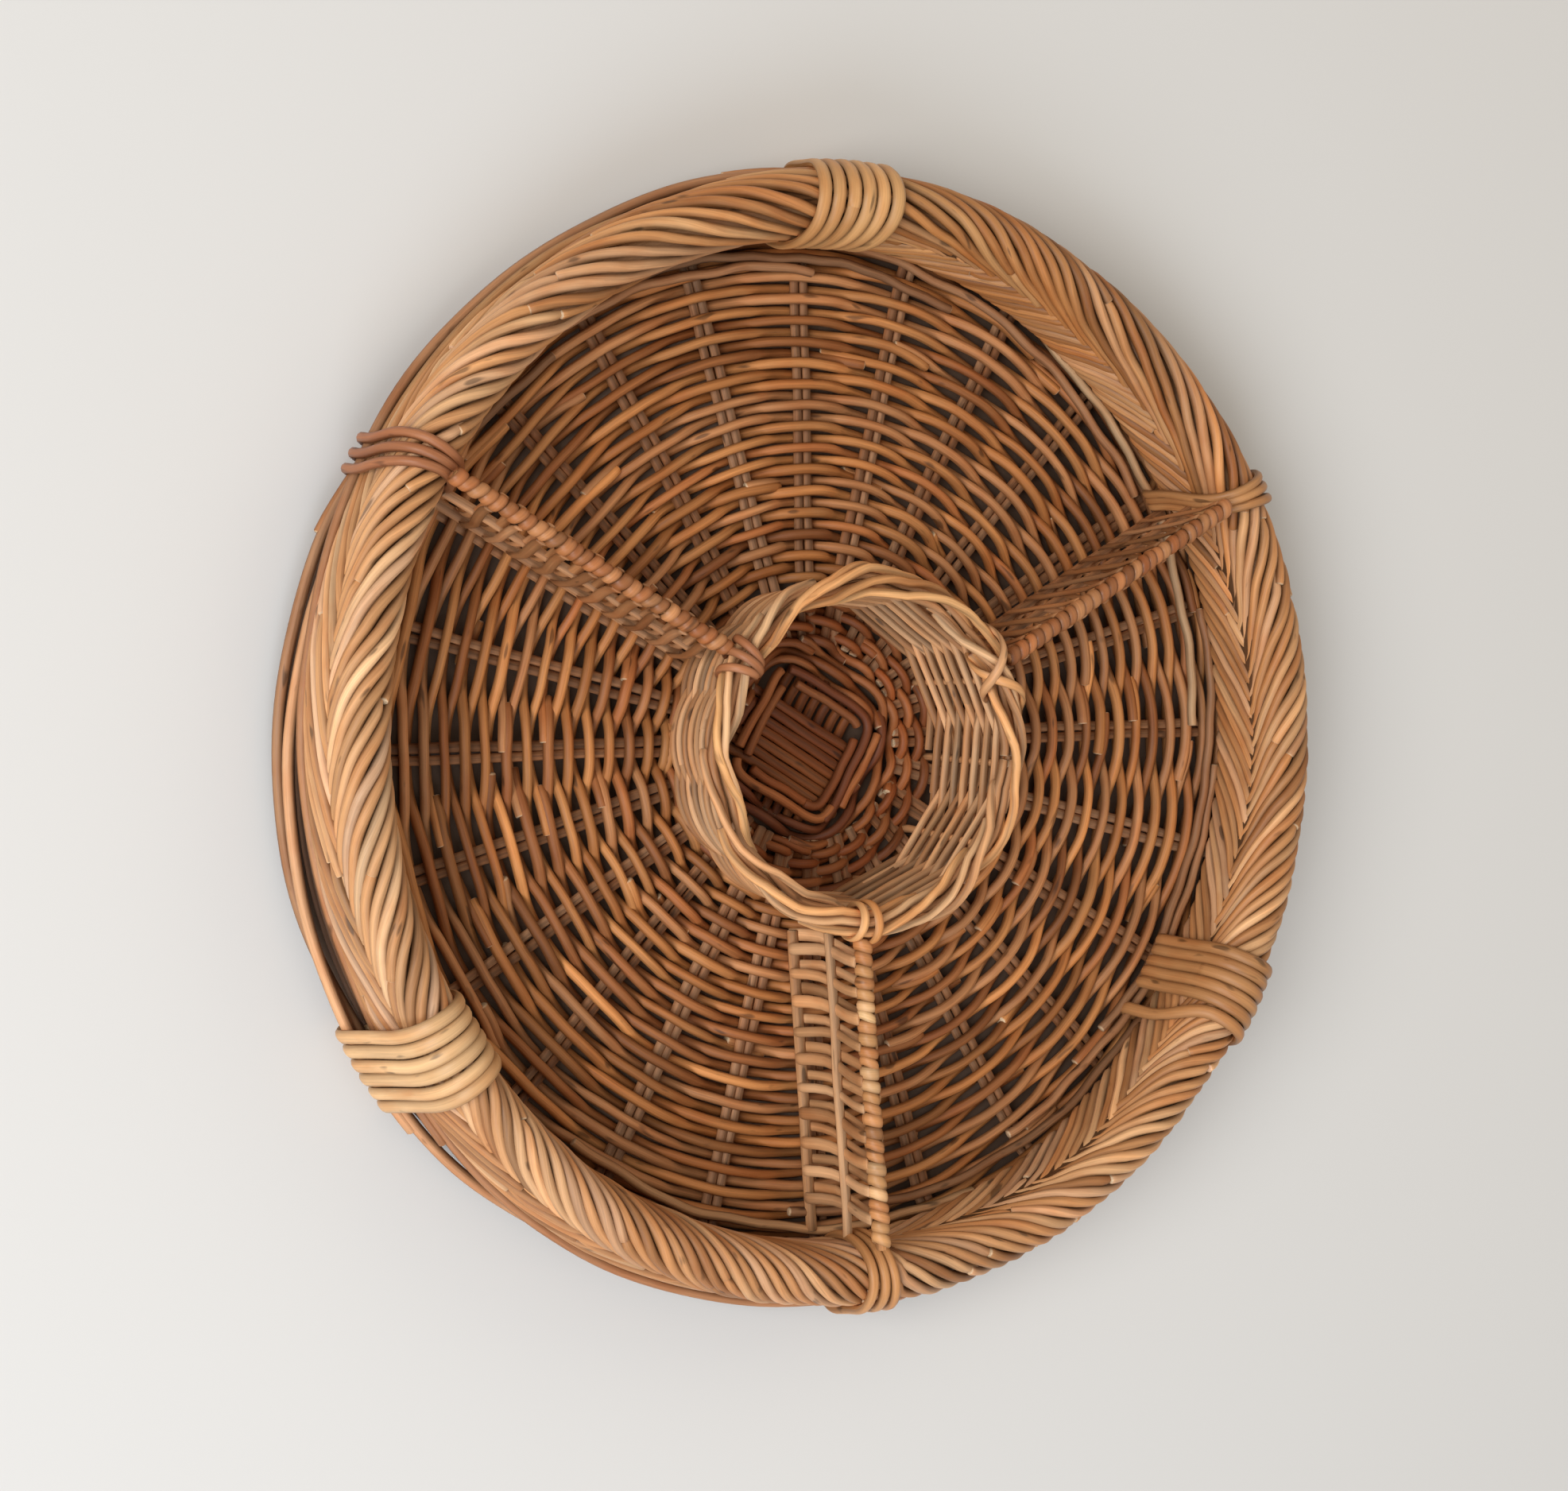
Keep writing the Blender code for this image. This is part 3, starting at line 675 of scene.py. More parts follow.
def taut_loop(azimuth, gap, corner):
    """The line of a cane pulled tight round the rim roll and the wale rods, from below, by the outer side.

    corner: if given, the radius and height in mm of a rod low on the inner side that it takes in.
    """
    girth = rim_girth(azimuth)
    middle = RIM_RADIUS + rim_shift(azimuth)
    ovals = [(middle, RIM_HEIGHT, RIM_HALF_WIDTH * girth, RIM_HALF_HEIGHT * girth)]
    if corner:
        ovals.append((corner[0] * MM, corner[1] * MM, WALE_RADIUS, WALE_RADIUS))
    for name in WALE_STARTS:
        ovals.append((*wale_place(name, azimuth), WALE_RADIUS, WALE_RADIUS))
    ovals = np.array(ovals)
    angles = np.radians(np.arange(-90, 270.1, 3.0))
    across, up = np.cos(angles)[:, None], np.sin(angles)[:, None]
    stretch = np.hypot(ovals[:, 2] * across, ovals[:, 3] * up)
    reach = (ovals[:, 0] - middle) * across + (ovals[:, 1] - RIM_HEIGHT) * up + stretch
    best = reach.argmax(axis=1)
    rows = np.arange(len(angles))
    x = ovals[best, 0] + (ovals[best, 2] ** 2) * across[:, 0] / stretch[rows, best] + gap * across[:, 0]
    z = ovals[best, 1] + (ovals[best, 3] ** 2) * up[:, 0] / stretch[rows, best] + gap * up[:, 0]
    way = way_along(x, z)
    even = np.linspace(0, way[-1], LOOP_POINTS)
    return np.interp(even, way, x), np.interp(even, way, z), even / way[-1]


# How a binding lies. pitch and half_width are in mm. sway: how far round, in degrees, a turn lies from where
# it lies on top, at the places of SWAY_SHARES. narrow: the pitch on the inner side, as a share of the pitch
# on the outer side. splay: how far, in degrees, the turn at the low azimuth end strays on the inner side.
BINDING_FIELDS = "azimuth turns pitch half_width tones sway narrow splay corner"
Binding = namedtuple("Binding", BINDING_FIELDS, defaults=(0, None))
SWAY_SHARES = (0.0, 0.22, 0.38, 0.5, 0.62, 0.77, 1.0)
SWAY_SAMPLES = 400
SWAY_BLUR = 30
BINDINGS = {
    "rim_binding_top": Binding(93.3, 6, 5.4, 2.85, GOLD_TONES, (-0.6, -1.5, -0.4, 0, 0.2, 0.7, 0.4), 1.2),
    "rim_binding_lower_right": Binding(
        -28.5, 6, 5.4, 2.75, TAN_TONES, (0.3, 0.4, 0.2, 0, -0.2, -0.9, -0.9), 1.0, 2.4, (186.0, 15.5)
    ),
    "rim_binding_lower_left": Binding(
        -146.0, 6, 5.5, 2.8, STRAW_TONES, (0.4, 0.3, 0.4, 0, 0.3, 0.4, 0.4), 1.0
    ),
    "divider_hoop_left": Binding(152.1, 3, 5.8, 2.0, RED_TONES, (1.5, 2.5, 0.9, 0, -0.2, -0.3, 0.5), 0.6),
    "divider_hoop_right": Binding(
        30.9, 3, 5.2, 2.0, TAN_TONES, (-0.4, -0.7, -0.4, 0, 0.5, 2.6, 1.8), 0.6, 0, (187.5, 17.0)
    ),
    "divider_hoop_bottom": Binding(-86.6, 3, 5.7, 2.05, HOOP_TONES, (1.2, 2.2, 0.8, 0, -0.3, -0.6, 0), 0.75),
}
BINDING_GAP = 1.7 * MM
BINDING_HALF_THICKNESS = 1.75 * MM


def smooth_sway(style, share):
    """The sway at each share of a turn, with the corners between its places rounded."""
    even = np.linspace(0, 1, SWAY_SAMPLES)
    sway = np.pad(np.interp(even, SWAY_SHARES, style.sway), SWAY_BLUR, "edge")
    window = np.ones(2 * SWAY_BLUR + 1) / (2 * SWAY_BLUR + 1)
    return np.interp(share, even, np.convolve(sway, window, "valid"))


def binding_turn(style, turn, x, z, share):
    """One turn of a binding, from below by the outer side to below again, and the way out of the roll."""
    step = math.degrees(style.pitch * MM / RIM_RADIUS)
    at_the_end = ease((1 - share) / 0.15)
    inner_side = ease((share - 0.32) / 0.25) * at_the_end
    narrowed = 1 + (style.narrow - 1) * inner_side
    offset = step * (turn - (style.turns - 1) / 2) * narrowed + smooth_sway(style, share)
    if turn < 1:
        offset = offset - style.splay * ease((share - 0.52) / 0.2) * at_the_end
    astray = draw(-0.12, 0.12) * np.sin(math.pi * share)
    azimuth = style.azimuth + offset + step * (share - 0.5) + astray
    out = np.arctan2(z - RIM_HEIGHT, x - RIM_RADIUS)
    lift = draw(-0.1, 0.35) * MM * np.sin(math.pi * share)
    path = place(x + lift * np.cos(out), azimuth, z + lift * np.sin(out))
    return path[:-1], place(np.cos(out), azimuth, np.sin(out))[:-1]


def make_bindings():
    for name, style in BINDINGS.items():
        strands = Strands(10)
        colour = tone(style.tones, 0.05)
        x, z, share = taut_loop(style.azimuth, BINDING_GAP, style.corner)
        turns = [binding_turn(style, turn, x, z, share) for turn in range(style.turns)]
        path, normals = (np.concatenate(parts) for parts in zip(*turns))
        path[1:-1] = (path[:-2] + 2 * path[1:-1] + path[2:]) / 4
        half_width = style.half_width * MM
        cut = int((0.5 + style.turns // 2) * (LOOP_POINTS - 1) + draw(2, 9))
        strands.add(path[:cut], half_width, colour, BINDING_HALF_THICKNESS, up=normals[:cut])
        second = slice(cut - 5, None)
        strands.add(
            path[second], half_width * 0.96, colour * draw(0.92, 1.0),
            BINDING_HALF_THICKNESS * 0.94, up=normals[second],
        )
        strands.finish(name + "_cane", CANE_LOOK, [name])


# ---- floor: stakes, weave and slath


STAKE_END_RADII = (193, 197, 200, 201, 201)
STAKE_END_RISES = (0.6, 2.6, 7.0, 14.0, 24.0)


def make_stakes():
    """Two rods side by side for each stake, level through the floor and turned up inside the rim."""
    radius = np.concatenate([np.arange(39, 190, 4.0), STAKE_END_RADII]) * MM
    height = np.full(len(radius), STAKE_HEIGHT)
    height[-len(STAKE_END_RISES) :] += np.array(STAKE_END_RISES) * MM
    for group, numbers in enumerate(quarters(STAKE_COUNT)):
        strands = Strands()
        nodes = []
        for number in numbers:
            nodes.append(f"stake_pair_{number + 1:02d}")
            out, beside = out_and_beside(FIRST_STAKE + STAKE_STEP * number)
            for side in (-1, 1):
                offset = side * 2.0 * MM + wander(radius, 90, 0.35)
                path = radius[:, None] * out + offset[:, None] * beside
                path[:, 2] = height
                strands.add(path, STAKE_RADIUS * draw(0.9, 1.03), tone(STAKE_TONES), up=beside)
        strands.finish(f"stake_rods_{group + 1}", STAKE_LOOK, nodes)


def field(radius, azimuth):
    """A slow wander of the rows, the same for neighbours, so that they don't cut through each other."""
    turn = np.radians(azimuth)
    waves = np.sin(3 * turn + 40 * radius) + 0.7 * np.sin(5 * turn - 65 * radius + 1.3)
    return 0.55 * MM * waves


def stake_wave(azimuth, row, count):
    """1 where this row passes over a stake, -1 where it passes under."""
    steps = (azimuth - FIRST_STAKE) / (360 / count)
    wave = np.cos(math.pi * (steps + row))
    return wave * (1.28 - 0.28 * wave**2)


def floor_row(strands, row):
    """One round of the floor's weaving, made of rods that overlap end to end."""
    base = FLOOR_START + WEAVER_PITCH * (row + 0.5)
    start = draw(0, 360)
    mean_radius = float(np.mean(base + field(base, np.arange(0, 360, 30.0))))
    covered = 0.0
    while covered < 360:
        span = math.degrees(draw(*WEAVER_LENGTHS) / mean_radius)
        if 360 - covered - span < SHORTEST_SPAN:
            span = 360 - covered
        end = math.degrees(WEAVER_LAP / mean_radius)
        step = math.degrees(WEAVER_STEP / mean_radius)
        azimuth = np.arange(start + covered - end, start + covered + span + end, step)
        length = np.radians(azimuth) * mean_radius
        radius = base + field(base, azimuth) + wander(length, 45, 0.16)
        radius = radius + lap(azimuth, 1.5 * MM, 2.5 * end)
        wave = stake_wave(azimuth, row, STAKE_COUNT)
        height = STAKE_HEIGHT + WEAVER_LIFT * wave + wander(length, 60, 0.12)
        thickness = WEAVER_RADIUS * np.linspace(1.05, 0.88, len(azimuth)) * draw(0.93, 1.04)
        strands.add(place(radius, azimuth, height), thickness, tone(FLOOR_TONES, 0.16))
        covered += span


def make_floor():
    for piece, rows in enumerate(quarters(FLOOR_ROWS)):
        strands = Strands()
        for row in rows:
            floor_row(strands, row)
        strands.finish(f"floor_weave_{piece + 1}", FLOOR_LOOK, ["tray_floor_weave"])


def make_corner_rods():
    """Rods that close the corner between the floor and the rim, and dive under the rim roll."""
    strands = Strands()
    for number in range(CORNER_RODS):
        start = number * 360 / CORNER_RODS + draw(-8, 8)
        azimuth = np.arange(start, start + CORNER_ROD_SPAN, 1.3)
        share = (azimuth - start) / CORNER_ROD_SPAN
        length = np.radians(azimuth) * RIM_RADIUS
        radius = (180.5 + 12.5 * share) * MM + wander(length, 60, 0.8)
        height = 12.9 * MM + 0.9 * MM * np.cos(np.radians((azimuth - FIRST_STAKE) * 12))
        strands.add(place(radius, azimuth, height), 1.9 * MM, tone(CORNER_TONES, 0.2))
    strands.finish("floor_corner_rods", FLOOR_LOOK, ["tray_floor_weave"])


CUP_FLOOR_FIRST_ROW = 2
CUP_FLOOR_ROWS = 10
CUP_FLOOR_PITCH = 4.15 * MM
CUP_FLOOR_LIFT = 2.9 * MM
SLATH_HALF_SIDE = 19.6 * MM
SLATH_FRAME_HEIGHT = 9.8 * MM
SLATH_CORNER_POWER = 7


def slath_frame(strands):
    """The rods that tie the crossed sticks, in pairs along the four sides; some bend round a corner."""
    # where each starts and ends, in degrees from the slath's own azimuth, and its half side in mm
    rods = [
        (142, 222, 19.6), (138, 214, 23.7), (46, 128, 19.8), (-42, 134, 24.0), (-58, 36, 19.4),
        (-140, -30, 23.2), (-128, -50, 19.0), (-24, 40, 27.6),
    ]
    for first, last, half_side in rods:
        azimuth = np.arange(first, last, 4.0)
        turn = np.radians(azimuth)
        length = turn * half_side * MM
        radius = half_side * MM * rounded_square(turn, SLATH_CORNER_POWER)
        radius = radius + wander(length, 40, 0.45)
        height = SLATH_FRAME_HEIGHT + wander(length, 40, 0.3)
        path = place(radius, azimuth + SLATH_AZIMUTH, height) + SLATH_CENTRE
        thickness = 1.85 * MM * draw(0.92, 1.06)
        strands.add(path, thickness, tone(CUP_FLOOR_TONES, 0.2), pale_ends=False)


def cup_floor_row(strands, row):
    """One round of weaving about the slath: the inner ones are nearly square, the outer ones round."""
    half_side = SLATH_HALF_SIDE + CUP_FLOOR_PITCH * row
    power = 2 + 9 * math.exp(-row / 1.7)
    grown = row / (CUP_FLOOR_ROWS - 1)
    centre = SLATH_CENTRE * (1 - grown) + CUP_BASE_CENTRE * grown
    count = 12 if row < 5 else STAKE_COUNT
    start = draw(0, 360)
    for half in (0, 180):
        azimuth = np.arange(start + half - 6, start + half + 186, 3.0 if row > 4 else 4.0)
        length = np.radians(azimuth) * half_side
        radius = half_side * rounded_square(np.radians(azimuth - SLATH_AZIMUTH), power)
        radius = radius + lap(azimuth, 1.4 * MM, 14) + wander(length, 50, 0.3)
        height = STAKE_HEIGHT + CUP_FLOOR_LIFT * stake_wave(azimuth, row, count)
        height = height + wander(length, 60, 0.15)
        path = place(radius, azimuth, height) + centre
        strands.add(path, SLATH_ROD_RADIUS * draw(0.92, 1.04), tone(CUP_FLOOR_TONES, 0.14))


def make_cup_floor():
    strands = Strands()
    slath_frame(strands)
    for row in range(CUP_FLOOR_FIRST_ROW, CUP_FLOOR_ROWS):
        cup_floor_row(strands, row)
    strands.finish("cup_floor_rods", FLOOR_LOOK, ["cup_floor_weave"])


def make_slath():
    # name: azimuth, height, bend at the ends, pitch, offset to the left of the azimuth
    rafts = {
        "slath_sticks_upper": (SLATH_AZIMUTH, SLATH_UPPER_HEIGHT, -1.9 * MM, 4.1 * MM, -3.1 * MM),
        "slath_sticks_lower": (SLATH_AZIMUTH + 90, SLATH_LOWER_HEIGHT, 1.6 * MM, 5.2 * MM, 0.0),
    }
    for name, (azimuth, height, bend, pitch, shift) in rafts.items():
        strands = Strands()
        out, beside = out_and_beside(azimuth)
        for stick in range(SLATH_STICKS):
            offset = pitch * (stick - (SLATH_STICKS - 1) / 2) + shift
            reach = np.linspace(-SLATH_REACH, SLATH_REACH, 31)
            path = reach[:, None] * out + offset * beside + SLATH_CENTRE
            path = path + wander(reach, 50, 0.2)[:, None] * beside
            path[:, 2] = height + bend * ease((np.abs(reach) - 16 * MM) / (8 * MM))
            strands.add(path, SLATH_ROD_RADIUS, tone(CUP_FLOOR_TONES, 0.12), up=beside)
        strands.finish(name + "_rods", FLOOR_LOOK, [name])


# ---- cup


def cup_centre(height):
    """The cup leans a little: its middle at each height."""
    share = np.clip((height - CUP_WALL_LOW) / (CUP_WALL_TOP - CUP_WALL_LOW), 0, 1)[:, None]
    return CUP_BASE_CENTRE * (1 - share) + CUP_MOUTH_CENTRE * share


def cup_radius(height):
    return np.interp(height, [CUP_WALL_LOW, CUP_WALL_TOP], [CUP_BASE_RADIUS, CUP_MOUTH_RADIUS])


def cup_wall_radius(azimuth, height, weaver):
    """A rod runs straight inside one stake of the cup and bulges round the outside of the next."""
    base = cup_radius(height)
    facet = 360 / CUP_STAKES
    steps = (azimuth - CUP_STAKE_AZIMUTH) / facet
    nearest = np.round(steps)
    straight = base * math.cos(math.radians(facet / 2)) / np.cos(np.radians((steps - nearest) * facet))
    bulged = base + 2.3 * MM * np.cos(math.pi * (steps - nearest)) ** 0.8
    return np.where(np.mod(nearest + weaver, 2) < 0.5, straight, bulged)


def make_cup_wall():
    strands = Strands()
    total = 360 * (CUP_WALL_TOP - CUP_WALL_LOW) / CUP_CLIMB
    for weaver in (0, 1):
        covered = 0.0
        while covered < total:
            span = min(draw(240, 460), total - covered)
            azimuth = np.arange(covered - 10, covered + span + 10, 2.5)
            azimuth = azimuth[azimuth >= 0]
            length = np.radians(azimuth) * CUP_BASE_RADIUS
            height = CUP_WALL_LOW + CUP_CLIMB * (azimuth / 360 + weaver / 2)
            height = height + wander(length, 60, 0.2)
            radius = cup_wall_radius(azimuth, height, weaver) + wander(length, 45, 0.15)
            thickness = CUP_ROD_RADIUS * draw(0.92, 1.08)
            path = place(radius, azimuth, height) + cup_centre(height)
            strands.add(path, thickness, tone(CUP_TONES, 0.14), up=place(1, azimuth, 0))
            covered += span
    for stake in range(CUP_STAKES):
        azimuth = CUP_STAKE_AZIMUTH + stake * 360 / CUP_STAKES
        height = np.linspace(7 * MM, CUP_BORDER_HEIGHT - 2 * MM, 14)
        path = place(cup_radius(height) + 0.3 * MM, azimuth, height) + cup_centre(height)
        strands.add(path, 1.6 * MM, tone(CUP_TONES, 0.14), up=place(1, np.full(14, azimuth), 0))
    strands.finish("cup_wall_rods", CUP_LOOK, ["cup_wall_weave"])


def border_polygon(azimuth):
    """Where the border stands out, at the cup's stakes, and where it is drawn in, between them."""
    facet = 360 / CUP_STAKES
    steps = (azimuth - CUP_STAKE_AZIMUTH - 6) / facet
    part = np.abs(steps - np.round(steps))
    return 0.9 * MM - 1.9 * MM * part / 0.5


def make_cup_border():
    strands = Strands()
    for number in range(CUP_BORDER_RODS):
        start = 360 * number / CUP_BORDER_RODS + draw(-4, 4)
        span = draw(60, 95)
        azimuth = np.arange(start, start + span, 2.0)
        share = (azimuth - start) / span
        angle = np.radians(-40 + draw(245, 280) * share)
        length = np.radians(azimuth) * CUP_BORDER_RADIUS
        reach = 4.5 * MM + draw(-0.7, 0.9) * MM
        radius = CUP_BORDER_RADIUS + reach * np.cos(angle) + wander(length, 50, 0.5)
        radius = radius + border_polygon(azimuth)
        height = CUP_BORDER_HEIGHT - 0.8 * MM + reach * np.sin(angle)
        height = height + wander(length, 50, 0.4)
        thickness = CUP_BORDER_ROD_RADIUS * draw(0.88, 1.08)
        path = place(radius, azimuth, height) + CUP_MOUTH_CENTRE
        normal = place(np.cos(angle), azimuth, np.sin(angle))
        strands.add(path, thickness, tone(BORDER_TONES), up=normal)
    azimuth = np.arange(0, 359, 2.0)
    # the rods that fill the border's middle: radius and height in mm
    for radius, height in ((62.6, 53.4), (65.0, 55.4), (61.2, 55.8)):
        path = place(radius * MM + border_polygon(azimuth), azimuth, height * MM) + CUP_MOUTH_CENTRE
        strands.add(path, CUP_BORDER_ROD_RADIUS, tone(CUP_TONES))
    strands.finish("cup_border_rods", CUP_LOOK, ["cup_border"])


def border_loop(strands, azimuth, lean, crossing, colour, half_width, gap):
    """A turn of cane over the cup's border.

    lean is how far it moves round, in degrees, from the outer to the inner side, and crossing is the
    section angle at which it lies at its azimuth.
    """
    degrees = np.linspace(-60, 240, 31)
    angle = np.radians(degrees)
    around = azimuth + lean * (degrees - crossing) / 180
    radius = CUP_BORDER_RADIUS + (CUP_BORDER_HALF_WIDTH + gap) * np.cos(angle)
    height = CUP_BORDER_HEIGHT + (CUP_BORDER_HALF_HEIGHT + gap) * np.sin(angle)
    normal = place(np.cos(angle), around, np.sin(angle))
    strands.add(place(radius, around, height) + CUP_MOUTH_CENTRE, half_width, colour, 1.0 * MM, up=normal)


# For each lashing: its tones, the half width of the cane in mm, and its turns: azimuth, lean and crossing.
LASHINGS = {
    "left": (RED_TONES, 1.7, [(147.8, 4.5, 90), (150.8, 1.0, 90), (154.0, -3.5, 90)]),
    "right": (BORDER_TONES, 1.9, [(29.8, 17, 140), (29.8, -16, 140)]),
    "bottom": (BORDER_TONES, 1.9, [(-94.2, 1.0, 90), (-89.0, -1.5, 90)]),
}


def make_lashings():
    for name, (tones, half_width, turns) in LASHINGS.items():
        strands = Strands()
        for number, (azimuth, lean, crossing) in enumerate(turns):
            gap = (0.9 + 0.8 * (number == 1)) * MM
            border_loop(strands, azimuth, lean, crossing, tone(tones), half_width * MM, gap)
        strands.finish(f"cup_lashing_{name}_cane", CANE_LOOK, [f"cup_lashing_{name}"])


# ---- dividers

# cup and rim: azimuths of the rail's two ends. In mm, start: the radius where the rail starts, overrun: how
# far it runs on over the rim roll, foot: how far the foot stands to the left of the rail.
Divider = namedtuple("Divider", "cup rim start overrun foot bead_tones strip_tones")
DIVIDERS = {
    "left": Divider(153.6, 153.3, 71.0, 15.0, 0.0, RED_BEAD_TONES, STRIP_TONES),
    "right": Divider(30.2, 31.4, 65.5, 6.5, 0.0, RED_BEAD_TONES, STRIP_TONES),
    "bottom": Divider(-93.6, -87.8, 72.8, 9.0, -5.0, PALE_BEAD_TONES, PALE_STRIP_TONES),
}
DIVIDER_END = 181.4 * MM
ROD_OVERRUN = 6.5 * MM
BEAD_PITCH = 4.4 * MM
BEAD_SWELL = 2.55 * MM
STRIP_PITCH = 10.8 * MM
STRIP_HALF_WIDTH = 2.25 * MM
STRIP_HALF_THICKNESS = 0.6 * MM


class DividerFrame:
    """Places points given along a divider, across it and up."""

    def __init__(self, style):
        self.start = place(style.start * MM, np.array([style.cup]), 0.0)[0]
        end = place(DIVIDER_END, np.array([style.rim]), 0.0)[0]
        self.length = float(np.linalg.norm(end - self.start))
        self.along = (end - self.start) / self.length
        self.across = np.array([-self.along[1], self.along[0], 0])
        self.foot = style.foot * MM

    def at(self, along, across, up):
        """The divider leans: the lower a point, the further it is moved over towards the foot."""
        along, across, up = np.broadcast_arrays(along, across, up)
        lean = self.foot * np.clip((RAIL_HEIGHT - up) / (RAIL_HEIGHT - FOOT_HEIGHT), 0, 1.1)
        flat = self.start + along[:, None] * self.along + (across + lean)[:, None] * self.across
        flat[:, 2] = up
        return flat


def rail_sag(along, length):
    return -0.7 * MM * np.sin(math.pi * np.clip(along / length, 0, 1))


def make_rail(name, style, lines):
    core = Strands()
    end = lines.length + style.overrun * MM
    along = np.linspace(1.0 * MM, end - 1.0 * MM, 34)
    path = lines.at(along, 0.0, RAIL_HEIGHT + rail_sag(along, lines.length))
    core.add(path, 2.3 * MM, tone(TAN_TONES), pale_ends=False)
    core.finish(f"divider_{name}_rail_core", STAKE_LOOK, [f"divider_{name}_rail"])

    beads = Strands(10)
    middle = 3.2 * MM
    turns = np.linspace(0, 2 * math.pi * 0.97, 21)
    while middle < end - 0.4 * BEAD_PITCH:
        size = draw(0.86, 1.12)
        swell = BEAD_SWELL + draw(-0.3, 0.35) * MM
        slant = draw(0.5, 1.6) * MM
        angle = draw(3.6, 4.6) + turns
        here = middle + slant * np.cos(angle)
        up = RAIL_HEIGHT + rail_sag(here, lines.length) + swell * np.sin(angle)
        path = lines.at(here, swell * np.cos(angle), up)
        normal = np.cos(angle)[:, None] * lines.across + np.sin(angle)[:, None] * np.array([0, 0, 1.0])
        colour = tone(style.bead_tones, 0.16)
        beads.add(path, 0.5 * BEAD_PITCH * size, colour, 0.95 * MM, up=normal, pale_ends=False)
        middle += BEAD_PITCH * size
    rail = f"divider_{name}_rail"
    beads.finish(rail + "_cane", CANE_LOOK, [rail + "_binding"])


# Each rod along a divider, in mm: height, radius, place across, and its wander's wavelength and size.
DIVIDER_RODS = {
    "foot": (FOOT_HEIGHT / MM, 2.2, 0.0, 90, 0.2),
    "middle": (MIDDLE_ROD_HEIGHT / MM, 1.9, 1.0, 80, 0.4),
}


def make_rods(name, style, lines):
    along = np.linspace(0, lines.length + ROD_OVERRUN, 30)
    for kind, (height, radius, across, wavelength, size) in DIVIDER_RODS.items():
        rod = Strands()
        level = height * MM + wander(along, wavelength, size)
        path = lines.at(along, across * MM, level)
        rod.add(path, radius * MM, tone(style.strip_tones), up=lines.across)
        piece = f"divider_{name}_{kind}"
        rod.finish(piece, STAKE_LOOK, [piece + "_rod"])


STRIP_HEIGHTS = [57.5, 54.5, 50.0, 44.0, 38.5, 33.0, 28.0, 22.0, 17.5, 15.0, 12.6]
STRIP_BENDS = [12.6, 16, 24, 37, 49, 57.5]
# The lattice's faces: side, first strip as a share of the pitch, and in mm, how far strips lean and lie out.
STRIP_FACES = ((-1, 0.4, (2.0, 5.0), 1.4), (1, 0.0, (5.5, 9.5), 3.0))
STRIP_LEAN_FROM = 27 * MM
STRIP_LEAN_TO = 56 * MM


def make_lattice(name, style, lines):
    """Strips that rise straight from the foot rod past the middle rod, then lean outwards to the rail."""
    strands = Strands()
    up = np.array(STRIP_HEIGHTS) * MM
    strips = int((lines.length - 4 * MM) / STRIP_PITCH)
    for strip in range(strips + 1):
        for face, first, leans, side in STRIP_FACES:
            base = 1.5 * MM + STRIP_PITCH * (strip + first)
            lean = draw(*leans) * MM
            share = np.clip((up - STRIP_LEAN_FROM) / (STRIP_LEAN_TO - STRIP_LEAN_FROM), 0, 1)
            along = base + draw(-0.7, 0.7) * MM + lean * share
            along = along + draw(-0.8, 0.8) * MM * np.sin(up / (9 * MM))
            places = [0.0, face * 2.6, side, side, face * 2.4, face * 3.6]
            across = np.interp(up / MM, STRIP_BENDS, places) * MM
            along = np.clip(along, 0.5 * MM, lines.length + 3 * MM)
            half_width = STRIP_HALF_WIDTH * draw(0.8, 1.1)
            strands.add(
                lines.at(along, across, up), half_width, tone(style.strip_tones, 0.16),
                STRIP_HALF_THICKNESS, up=lines.across, pale_ends=False,
            )
    strands.finish(f"divider_{name}_strips", CANE_LOOK, [f"divider_{name}_lattice"])


def make_dividers():
    for name, style in DIVIDERS.items():
        lines = DividerFrame(style)
        make_rail(name, style, lines)
        make_rods(name, style, lines)
        make_lattice(name, style, lines)


# ---- floor under the tray, light and camera


def stage_sheet(name, points, colour):
    mesh = bpy.data.meshes.new(name)
    mesh.from_pydata(points, [], [list(range(len(points)))])
    sheet = add_object(name, mesh)
    paint = bpy.data.materials.new(name)
    paint.use_nodes = True
    shader = paint.node_tree.nodes["Principled BSDF"]
    shader.inputs["Base Color"].default_value = (*colour, 1)
    shader.inputs["Roughness"].default_value = 0.9
    mesh.materials.append(paint)


def make_stage():
    """A pale floor, and on it a painted shadow: a dark patch, hidden by the tray, that keeps the gaps in the
    weave as dark as the shade under the tray.
    """
    half = 3.0
    corners = [(-half, -half, 0), (half, -half, 0), (half, half, 0), (-half, half, 0)]
    stage_sheet("pale_ground", corners, GROUND)
    azimuth = np.arange(0, 360, 5.0)
    # Painted shadow: a dark sheet under the tray stands in for the shade beneath it.
    patch = place(205 * MM + 10 * MM * wale_bulge(azimuth), azimuth, 0.3 * MM)
    stage_sheet("painted_shadow_patch", patch.tolist(), PAINTED_SHADOW)


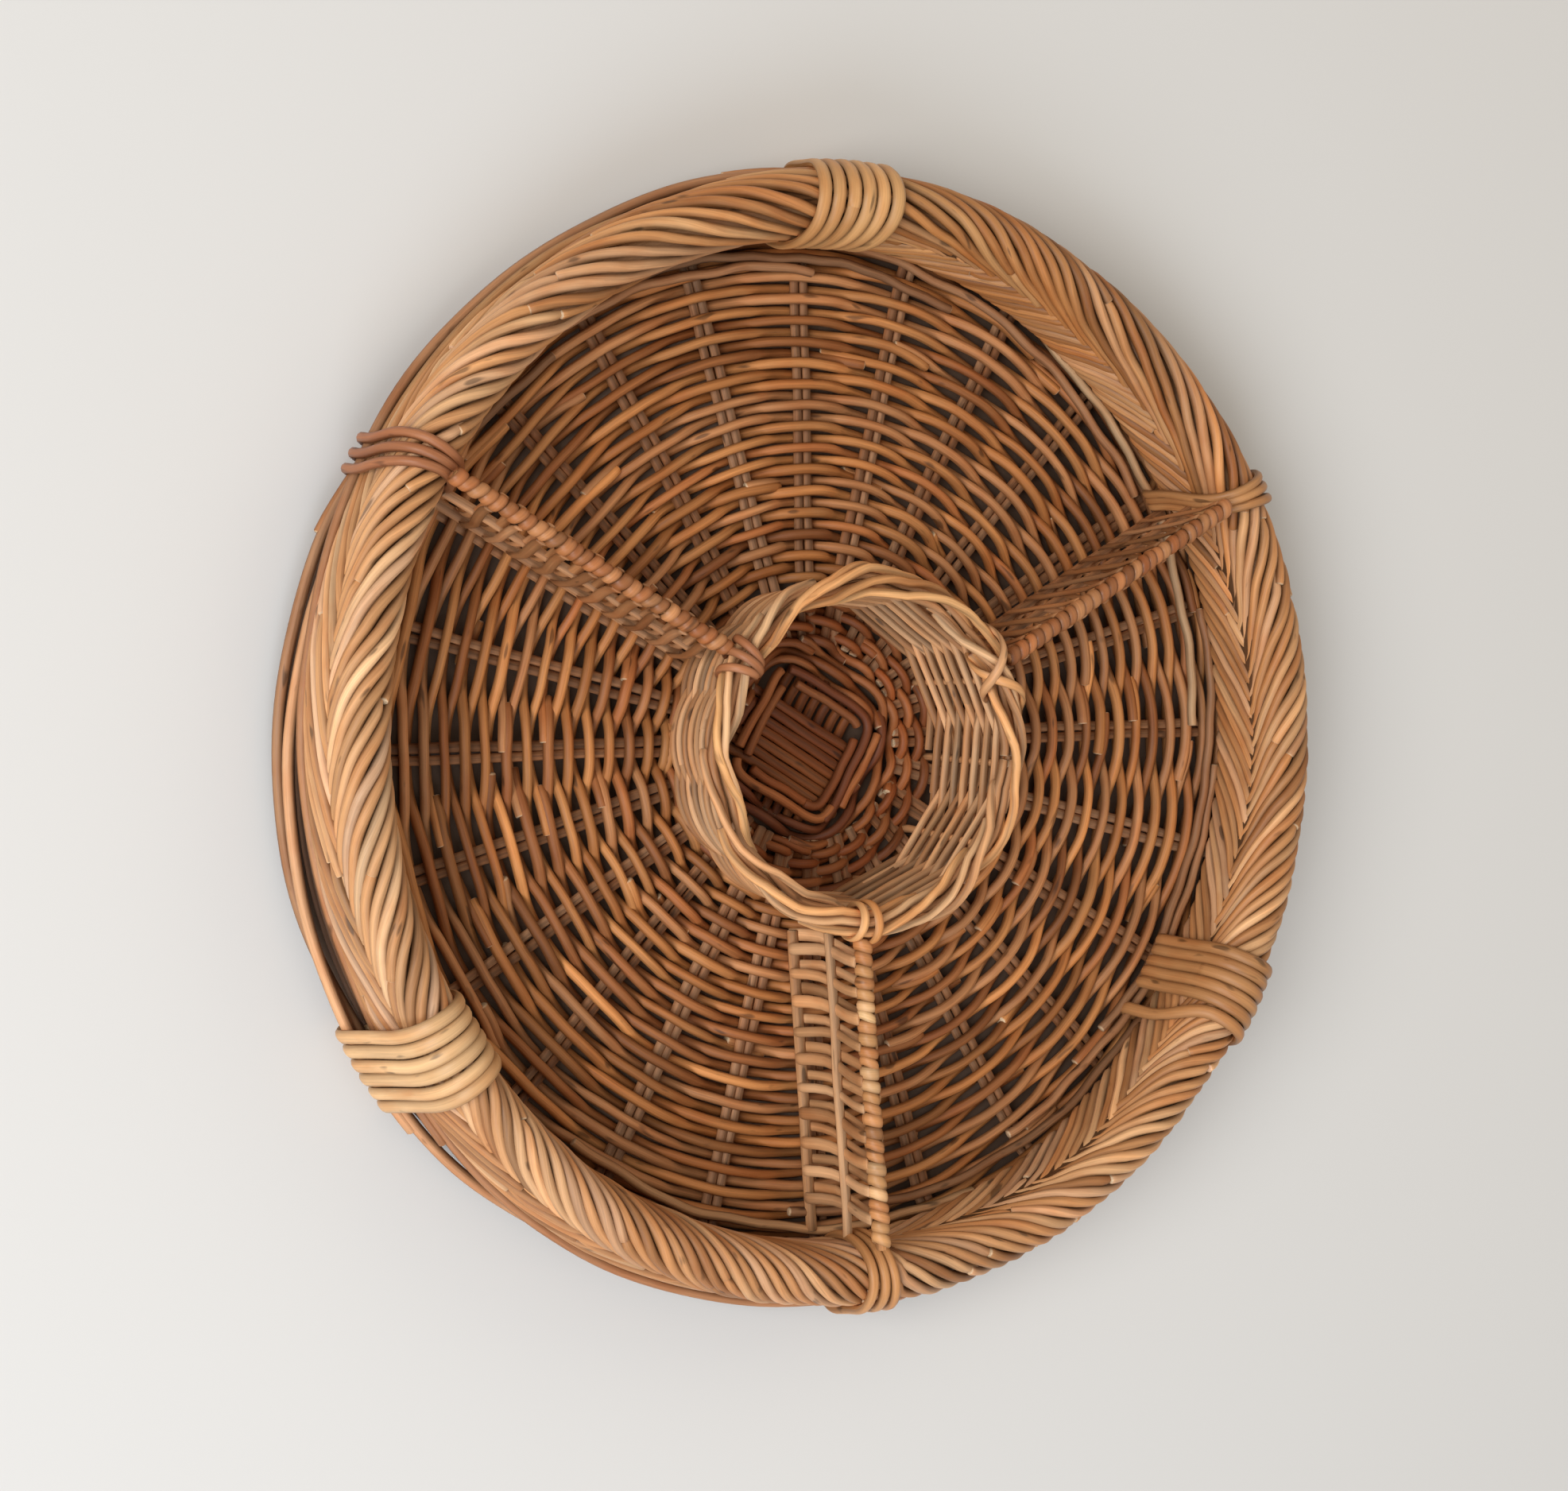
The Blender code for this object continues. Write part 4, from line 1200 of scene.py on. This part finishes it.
# Area lights: name, position, what each is aimed at, size, power in watts and colour.
LIGHTS = [
    ("window", (-2.1, -0.1, 1.7), (0, 0, 0), 1.5, 46, (1.0, 0.99, 0.985)),
    ("cool_corner", (-0.9, -1.6, 1.4), (0, -0.1, 0), 1.4, 21.5, (0.79, 0.88, 1.0)),
    ("warm_room", (1.5, 1.3, 1.6), (0, 0, 0), 1.6, 6.5, (1.0, 0.76, 0.48)),
]


def add_area_light(name, position, target, size, power, colour):
    lamp = bpy.data.lights.new(name, "AREA")
    lamp.shape = "DISK"
    lamp.size = size
    lamp.energy = power
    lamp.color = colour
    light = add_object(name, lamp)
    light.location = position
    aim = Vector(target) - Vector(position)
    light.rotation_euler = aim.to_track_quat("-Z", "Y").to_euler()


def make_light():
    world = bpy.data.worlds.new("soft_room")
    world.use_nodes = True
    background = world.node_tree.nodes["Background"]
    background.inputs["Color"].default_value = (1.0, 0.945, 0.87, 1)
    background.inputs["Strength"].default_value = 0.475
    bpy.context.scene.world = world
    for light in LIGHTS:
        add_area_light(*light)


def make_camera():
    """The camera looks from 30 degrees off the tray's axis, from the -X side."""
    tilt = math.radians(30)
    roll = math.radians(1.6)
    aim = Vector((-12.6, -2.1, 9.6)) * MM
    distance = 1.2
    back = Vector((-math.sin(tilt), 0, math.cos(tilt)))
    side = Vector((math.cos(tilt), 0, math.sin(tilt)))
    up = Vector((0, 1, 0))
    right = side * math.cos(roll) + up * math.sin(roll)
    top = up * math.cos(roll) - side * math.sin(roll)
    pose = Matrix((right, top, back)).transposed().to_4x4()
    pose.translation = aim + back * distance
    lens = bpy.data.cameras.new("camera")
    lens.sensor_width = 36
    lens.lens = 71.7
    camera = add_object("camera", lens)
    camera.matrix_world = pose
    bpy.context.scene.camera = camera


make_rim()
make_wales()
make_bindings()
make_stakes()
make_floor()
make_corner_rods()
make_cup_floor()
make_slath()
make_cup_wall()
make_cup_border()
make_lashings()
make_dividers()
make_stage()
make_light()
make_camera()
bpy.context.scene.view_settings.view_transform = "Standard"

bpy.context.view_layer.update()
